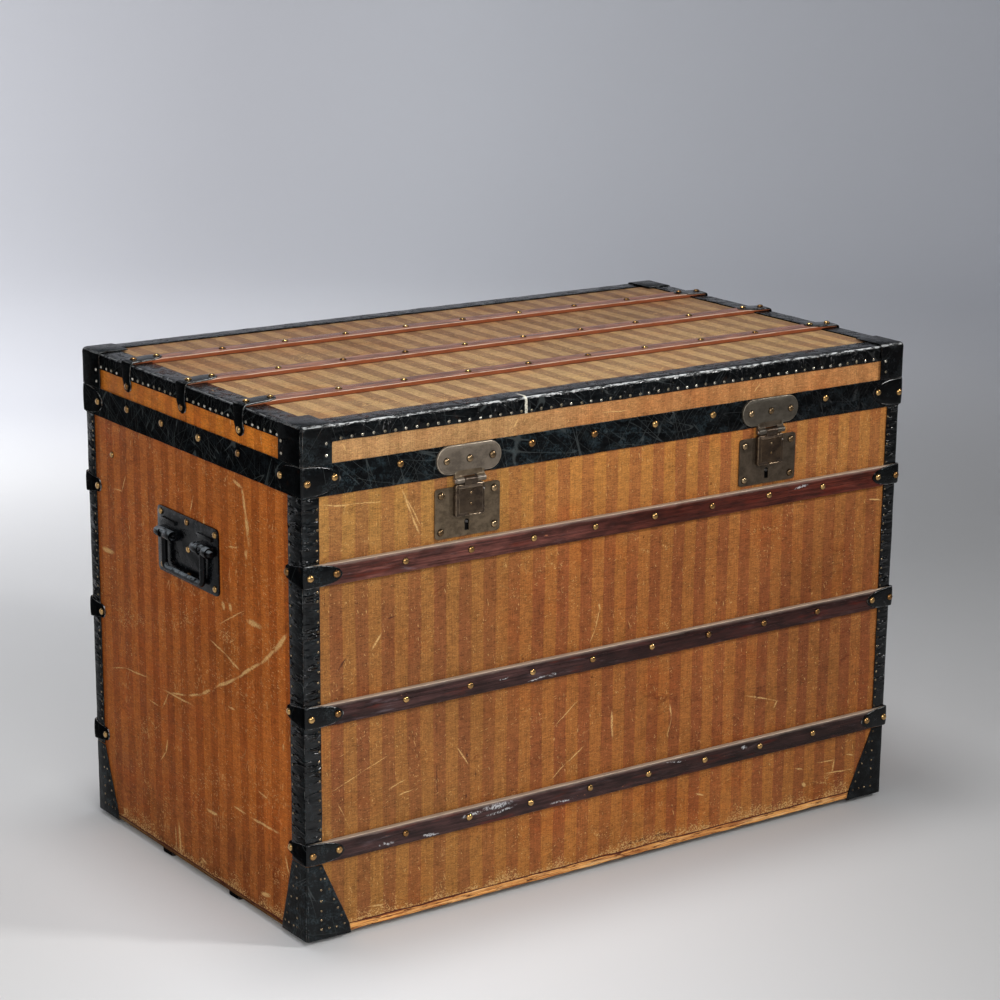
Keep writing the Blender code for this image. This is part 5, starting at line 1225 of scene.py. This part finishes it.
for hand, cx in (("left", -LOCK_X), ("right", LOCK_X)):
    refined("lock_plate_" + hand, BRONZE, "case", bevel=0.7)
    refined("lock_case_" + hand, DARK_METAL, "case", bevel=0.0)
    refined("lock_bolt_" + hand, BRONZE, "lock_bolt_" + hand, bevel=0.0)
    refined("hasp_plate_" + hand, PILL_BRONZE, "lid", bevel=0.0, smooth=40.0)

    # The pressed face over the hasp plate, with its turned-down border.
    bm = bmesh.new()
    worn = bm.verts.layers.float.new("edge")
    stamped(bm, worn, (cx, 622.6), 99.6, 37.6, 18.7, (
        (0.0, -299.1, 0.0), (0.0, -299.35, 0.4), (0.5, -299.75, 1.0), (1.2, -299.95, 0.3),
        (3.0, -300.35, 0.0), (3.6, -300.5, 0.5), (4.4, -300.6, 0.0), (9.0, -300.7, 0.0), (15.0, -300.7, 0.0)), steps=10)
    bmesh.ops.recalc_face_normals(bm, faces=bm.faces)
    new_piece("hasp_plate_face_" + hand, bm, PILL_BRONZE, "lid", smooth=40.0)
    # Its neck runs down into the rolled barrel.
    bm = bmesh.new()
    worn = bm.verts.layers.float.new("edge")
    for first, last, profile in (
        (-22.9, 22.9, ((609.0, -300.55), (606.5, -300.6), (604.0, -300.65), (602.3, -300.85), (600.8, -301.2))),
        (-22.9, -10.8, ((600.8, -301.2), (600.0, -301.7), (599.3, -302.4), (598.7, -303.1))),
        (10.8, 22.9, ((600.8, -301.2), (600.0, -301.7), (599.3, -302.4), (598.7, -303.1))),
    ):
        rows = []
        for z, y in profile:
            row = []
            for i in range(9):
                u = first + (last - first) * i / 8.0
                edge = 1.0 if abs(u) > 22.0 else 0.0
                row.append(((cx + u, y + (0.5 if edge else 0.0), z), (0, -1, 0.35), edge))
            rows.append(row)
        sheet(bm, rows, 1.0, worn)
    new_piece("hasp_neck_" + hand, bm, BRONZE, "lid", smooth=50.0)

    # The hasp: a deep stamped flap with bumps, lip and middle knuckle.
    bm = bmesh.new()
    worn = bm.verts.layers.float.new("edge")
    stamped(bm, worn, (cx, 567.9), 45.8, 43.0, 3.6, (
        (0.0, -297.05, 0.0), (0.0, -301.3, 0.2), (0.25, -302.0, 0.9), (0.9, -302.5, 1.0), (1.5, -302.7, 0.2),
        (4.4, -303.35, 0.0), (5.0, -303.65, 0.8), (5.8, -303.75, 0.1), (10.0, -303.85, 0.0), (16.0, -303.9, 0.0)))
    layers = (bm.verts.layers.float.new("painted_rim"), bm.verts.layers.float.new("tone"))
    tube(bm, [(cx - 9.8, -301.2, 594.8), (cx - 5.0, -301.2, 594.8), (cx + 5.0, -301.2, 594.8), (cx + 9.8, -301.2, 594.8)], 4.1, 20, False)
    # Tongue between the knuckle and the flap.
    rows = []
    for z, y in ((588.2, -303.5), (590.5, -303.9), (592.0, -304.6), (593.5, -305.1)):
        rows.append([((cx - 9.9 + 19.8 * i / 6, y, z), (0, -1, 0), 0.0) for i in range(7)])
    sheet(bm, rows, 1.6, worn)
    # Thumb lip, rolled forward.
    rows = []
    for n in range(7):
        a = math.pi * 0.62 * n / 6
        y = -303.3 - 2.9 * math.sin(a)
        z = 548.4 + 2.1 * math.cos(a)
        rows.append([((cx - 4.0 + 17.5 * i / 6, y + (0.25 if i in (0, 6) else 0.0), z),
                      (0, -math.sin(a), math.cos(a)), 1.0) for i in range(7)])
    sheet(bm, rows, 0.9, worn)
    bmesh.ops.recalc_face_normals(bm, faces=bm.faces)
    new_piece("hasp_look_" + hand, bm, HASP_BRONZE, "hasp_" + hand, ("hasp_" + hand,), smooth=40.0)
    domes("hasp_bumps_" + hand, [((cx, -303.8, 577.6), (0, -1, 0)), ((cx, -303.8, 563.2), (0, -1, 0))],
          "hasp_" + hand, 2.1, 1.3, RIVET, "bronze", jitter=0.0, sides=12, tilt=0.0, flange=0.98)
    domes("hasp_stud_" + hand, [((cx + 21.4, -302.6, 580.2), (0.5, -1, 0))],
          "hasp_" + hand, 1.5, 1.0, PIN, "bronze", jitter=0.0, sides=10, tilt=0.0)

    domes("lock_rivets_" + hand, [((cx + u, -295.9, LOCK_Z + v), (0, -1, 0)) for u in (-41.5, 41.5) for v in (-24.3, 24.3)],
          "case", 5.3, 3.4, RIVET, "bronze", jitter=0.2, sides=18, tilt=3.0)
    domes("hasp_rivets_" + hand, [((cx + u, -300.6, 622.4), (0, -1, 0)) for u in (-35.5, 0.0, 35.5)],
          "lid", 5.2, 3.2, RIVET, "bronze", jitter=0.15, sides=18, tilt=3.0)
    # Knuckle pin ends.
    domes("hasp_pin_ends_" + hand, [((cx - 22.9, -301.2, 594.8), (-1, 0, 0)), ((cx + 22.9, -301.2, 594.8), (1, 0, 0))],
          "lid", 2.4, 0.9, PIN, "bronze", jitter=0.0, sides=12, tilt=0.0)

# ------------------------------------------------------------------- hinges
for hand, cx in (("left", -HINGE_X), ("right", HINGE_X)):
    refined("case_hinge_leaf_" + hand, DARK_METAL, "case", bevel=0.3, smooth=40.0)
    refined("lid_hinge_leaf_" + hand, DARK_METAL, "lid", bevel=0.3, smooth=40.0)
    refined("hinge_pin_" + hand, PIN, "case", bevel=0.3, smooth=40.0)
    domes("case_hinge_rivets_" + hand, [((cx + u, 295.9, z), (0, 1, 0)) for u in (-21.0, 0.0, 21.0) for z in (556.0, 582.0)],
          "case", 3.6, 1.5, DARK_METAL, "dark_iron", jitter=0.1, tilt=2.0)
    domes("lid_hinge_rivets_" + hand, [((cx + u, 298.9, 628.0), (0, 1, 0)) for u in (-21.0, 0.0, 21.0)],
          "lid", 3.6, 1.5, DARK_METAL, "dark_iron", jitter=0.1, tilt=2.0)

# ------------------------------------------------------------------ handles
for hand, s in (("left", -1), ("right", 1)):
    refined("handle_plate_" + hand, BLACK_HANDLE, "case", bevel=0.35, smooth=40.0)
    bm = bmesh.new()
    worn = bm.verts.layers.float.new("edge")
    reach, arm, drop, turn, bend = 75.2, 53.0, 47.5, 9.0, 5.0
    half = [(reach, 0.0), (reach - 6.0, 0.0), (arm + bend + 3, 0.0), (arm + bend, 0.0)]
    for i in range(1, 6):
        a = math.pi / 2 * i / 5
        half.append((arm + bend - bend * math.sin(a), -bend + bend * math.cos(a)))
    half.append((arm, -(drop - turn) * 0.5 - 3))
    for i in range(0, 8):
        a = math.pi / 2 * i / 7
        half.append((arm - turn + turn * math.cos(a), -drop + turn - turn * math.sin(a)))
    half.append((arm - turn - 14.0, -drop))
    route = half + [(-u, v) for u, v in reversed(half)]
    radii = [4.45 + (0.35 if v == -drop and abs(u) < arm - turn - 10 else 0.0) for u, v in route]
    tube(bm, [(s * 507.5, 2.0 + u, 479.0 + v) for u, v in route], radii, 18)
    new_piece("handle_bail_look_" + hand, bm, BLACK_HANDLE, "handle_" + hand, ("handle_bail_" + hand,), smooth=60.0)
    rivets = [(-76, 38), (0, 38), (72, 38), (-3, 1.5), (-74, -36), (-4, -36), (70, -36)]
    domes("handle_rivets_" + hand, [((s * 501.0, 2.0 + u, 466.8 + v), (s, 0, 0)) for u, v in rivets],
          "case", 4.9, 3.1, BRASS, "bright_brass", jitter=0.3, sides=16)

# -------------------------------------------------------------------- stays
for hand in ("left", "right"):
    refined("stay_lower_" + hand, STEEL, "stay_lower_" + hand, bevel=0.3, smooth=40.0)
    refined("stay_upper_" + hand, STEEL, "stay_upper_" + hand, bevel=0.3, smooth=40.0)


# -------------------------------------------------------------------- stage
def backdrop_material():
    t = Tree("backdrop")
    x, y, z = t.split(t.place)
    across = t.m("ADD", t.m("MULTIPLY", x, 0.81452), t.m("MULTIPLY", y, -0.58))
    away = t.m("ADD", t.m("MULTIPLY", x, 0.583), t.m("MULTIPLY", y, 0.813))
    base = t.mix(t.step(away, 1500.0, 5000.0), display(222, 222, 223), display(224, 226, 231))
    # Painted shade on the stage: darker to the right of the trunk, a little darker close on its left where its soft
    # shadow falls, and greyer further back on the left.
    near = t.step(away, 3400.0, 1300.0)
    base = t.mix(t.m("MULTIPLY", t.step(across, -200.0, 900.0), near), base, display(176, 176, 176))
    base = t.mix(t.m("MULTIPLY", t.step(across, -150.0, -700.0), t.step(away, 1500.0, 500.0)), base, display(206, 206, 206))
    base = t.mix(t.m("MULTIPLY", t.step(across, -100.0, -1100.0), t.step(away, 1800.0, 2700.0)), base,
                 t.mix(t.step(away, 3000.0, 4400.0), display(196, 197, 202), display(211, 212, 217)))
    grain = t.noise(t.place, 60.0, 3.0, 0.5)
    base = t.mix(t.m("MULTIPLY", grain, 0.04), base, display(200, 200, 200))
    return t.finish(base, 0.8, t.bump(t.noise(t.place, 4.0, 3.0, 0.6), 0.2, strength=0.3), Specular_IOR_Level=0.2)


bm = bmesh.new()
profile = [(0.0, 0.0), (1500.0, 0.0), (3000.0, 0.0), (4400.0, 0.0)]
for i in range(1, 17):
    a = math.pi / 2 * i / 16
    profile.append((4400.0 + 2600.0 * math.sin(a), 2600.0 - 2600.0 * math.cos(a)))
profile.append((7000.0, 9000.0))
sides = 96
rings = []
for r, z in profile[1:]:
    rings.append([bm.verts.new((r * math.cos(2 * math.pi * k / sides) * MM, r * math.sin(2 * math.pi * k / sides) * MM, z * MM))
                  for k in range(sides)])
middle = bm.verts.new((0, 0, 0))
for k in range(sides):
    bm.faces.new((middle, rings[0][k], rings[0][(k + 1) % sides]))
for lower, upper in zip(rings, rings[1:]):
    for k in range(sides):
        j = (k + 1) % sides
        bm.faces.new((lower[k], upper[k], upper[j], lower[j]))
bmesh.ops.recalc_face_normals(bm, faces=bm.faces)
mesh = bpy.data.meshes.new("studio_floor")
bm.to_mesh(mesh)
bm.free()
mesh.shade_smooth()
mesh.materials.append(backdrop_material())
floor = bpy.data.objects.new("studio_floor", mesh)
bpy.context.scene.collection.objects.link(floor)


def area_light(name, place, target, width, height, power, colour=(1.0, 1.0, 1.0), spread=180.0):
    data = bpy.data.lights.new(name, "AREA")
    data.shape = "RECTANGLE"
    data.size, data.size_y = width, height
    data.energy = power
    data.color = colour
    data.spread = math.radians(spread)
    obj = bpy.data.objects.new(name, data)
    bpy.context.scene.collection.objects.link(obj)
    obj.location = place
    obj.rotation_euler = (Vector(target) - Vector(place)).to_track_quat("-Z", "Y").to_euler()
    obj.visible_camera = False
    return obj


area_light("fill_light", (-1.5, -3.3, 1.8), (-0.2, 0.0, 0.35), 2.4, 1.7, 50.0, (1.0, 0.99, 0.97), 150.0)
area_light("key_light", (2.3, -2.8, 2.5), (-0.9, -0.1, 0.3), 0.5, 0.45, 14.0, (1.0, 0.99, 0.97), 80.0)
area_light("top_light", (-0.3, 0.1, 3.4), (-0.35, 0.2, 0.3), 1.0, 0.7, 38.0, (0.98, 0.99, 1.0), 150.0)
area_light("left_light", (-3.6, -1.2, 1.9), (-0.6, 0.0, 0.35), 1.6, 1.4, 15.0, (1.0, 0.985, 0.96), 140.0)
area_light("wall_light", (-1.9, 2.8, 2.7), (-0.6, 5.6, 0.4), 2.8, 1.3, 120.0, (0.98, 0.985, 1.0), 125.0)
area_light("floor_light", (0.1, 2.9, 2.8), (0.1, 2.8, 0.0), 1.6, 1.0, 13.0, (0.98, 0.985, 1.0), 88.0)

world = bpy.data.worlds.new("studio")
bpy.context.scene.world = world
world.use_nodes = True
world.node_tree.nodes["Background"].inputs["Color"].default_value = (0.86, 0.90, 1.0, 1.0)
world.node_tree.nodes["Background"].inputs["Strength"].default_value = 0.20

# ------------------------------------------------------------------- camera
data = bpy.data.cameras.new("camera")
data.lens = 98.29
data.sensor_width = 36.0
data.sensor_fit = "HORIZONTAL"
data.shift_x = -0.0301
data.shift_y = 0.0635
data.clip_end = 60.0
camera = bpy.data.objects.new("camera", data)
bpy.context.scene.collection.objects.link(camera)
right = Vector((0.81452, -0.58002, 0.01153)).normalized()
forward = Vector((0.56022, 0.78124, -0.27534)).normalized()
up = right.cross(forward).normalized()
right = forward.cross(up).normalized()
camera.matrix_world = Matrix((
    (right.x, up.x, -forward.x, -2.17114),
    (right.y, up.y, -forward.y, -3.11128),
    (right.z, up.z, -forward.z, 1.45707),
    (0.0, 0.0, 0.0, 1.0),
))
bpy.context.scene.camera = camera
bpy.context.scene.view_settings.view_transform = "Standard"
bpy.context.scene.view_settings.look = "None"
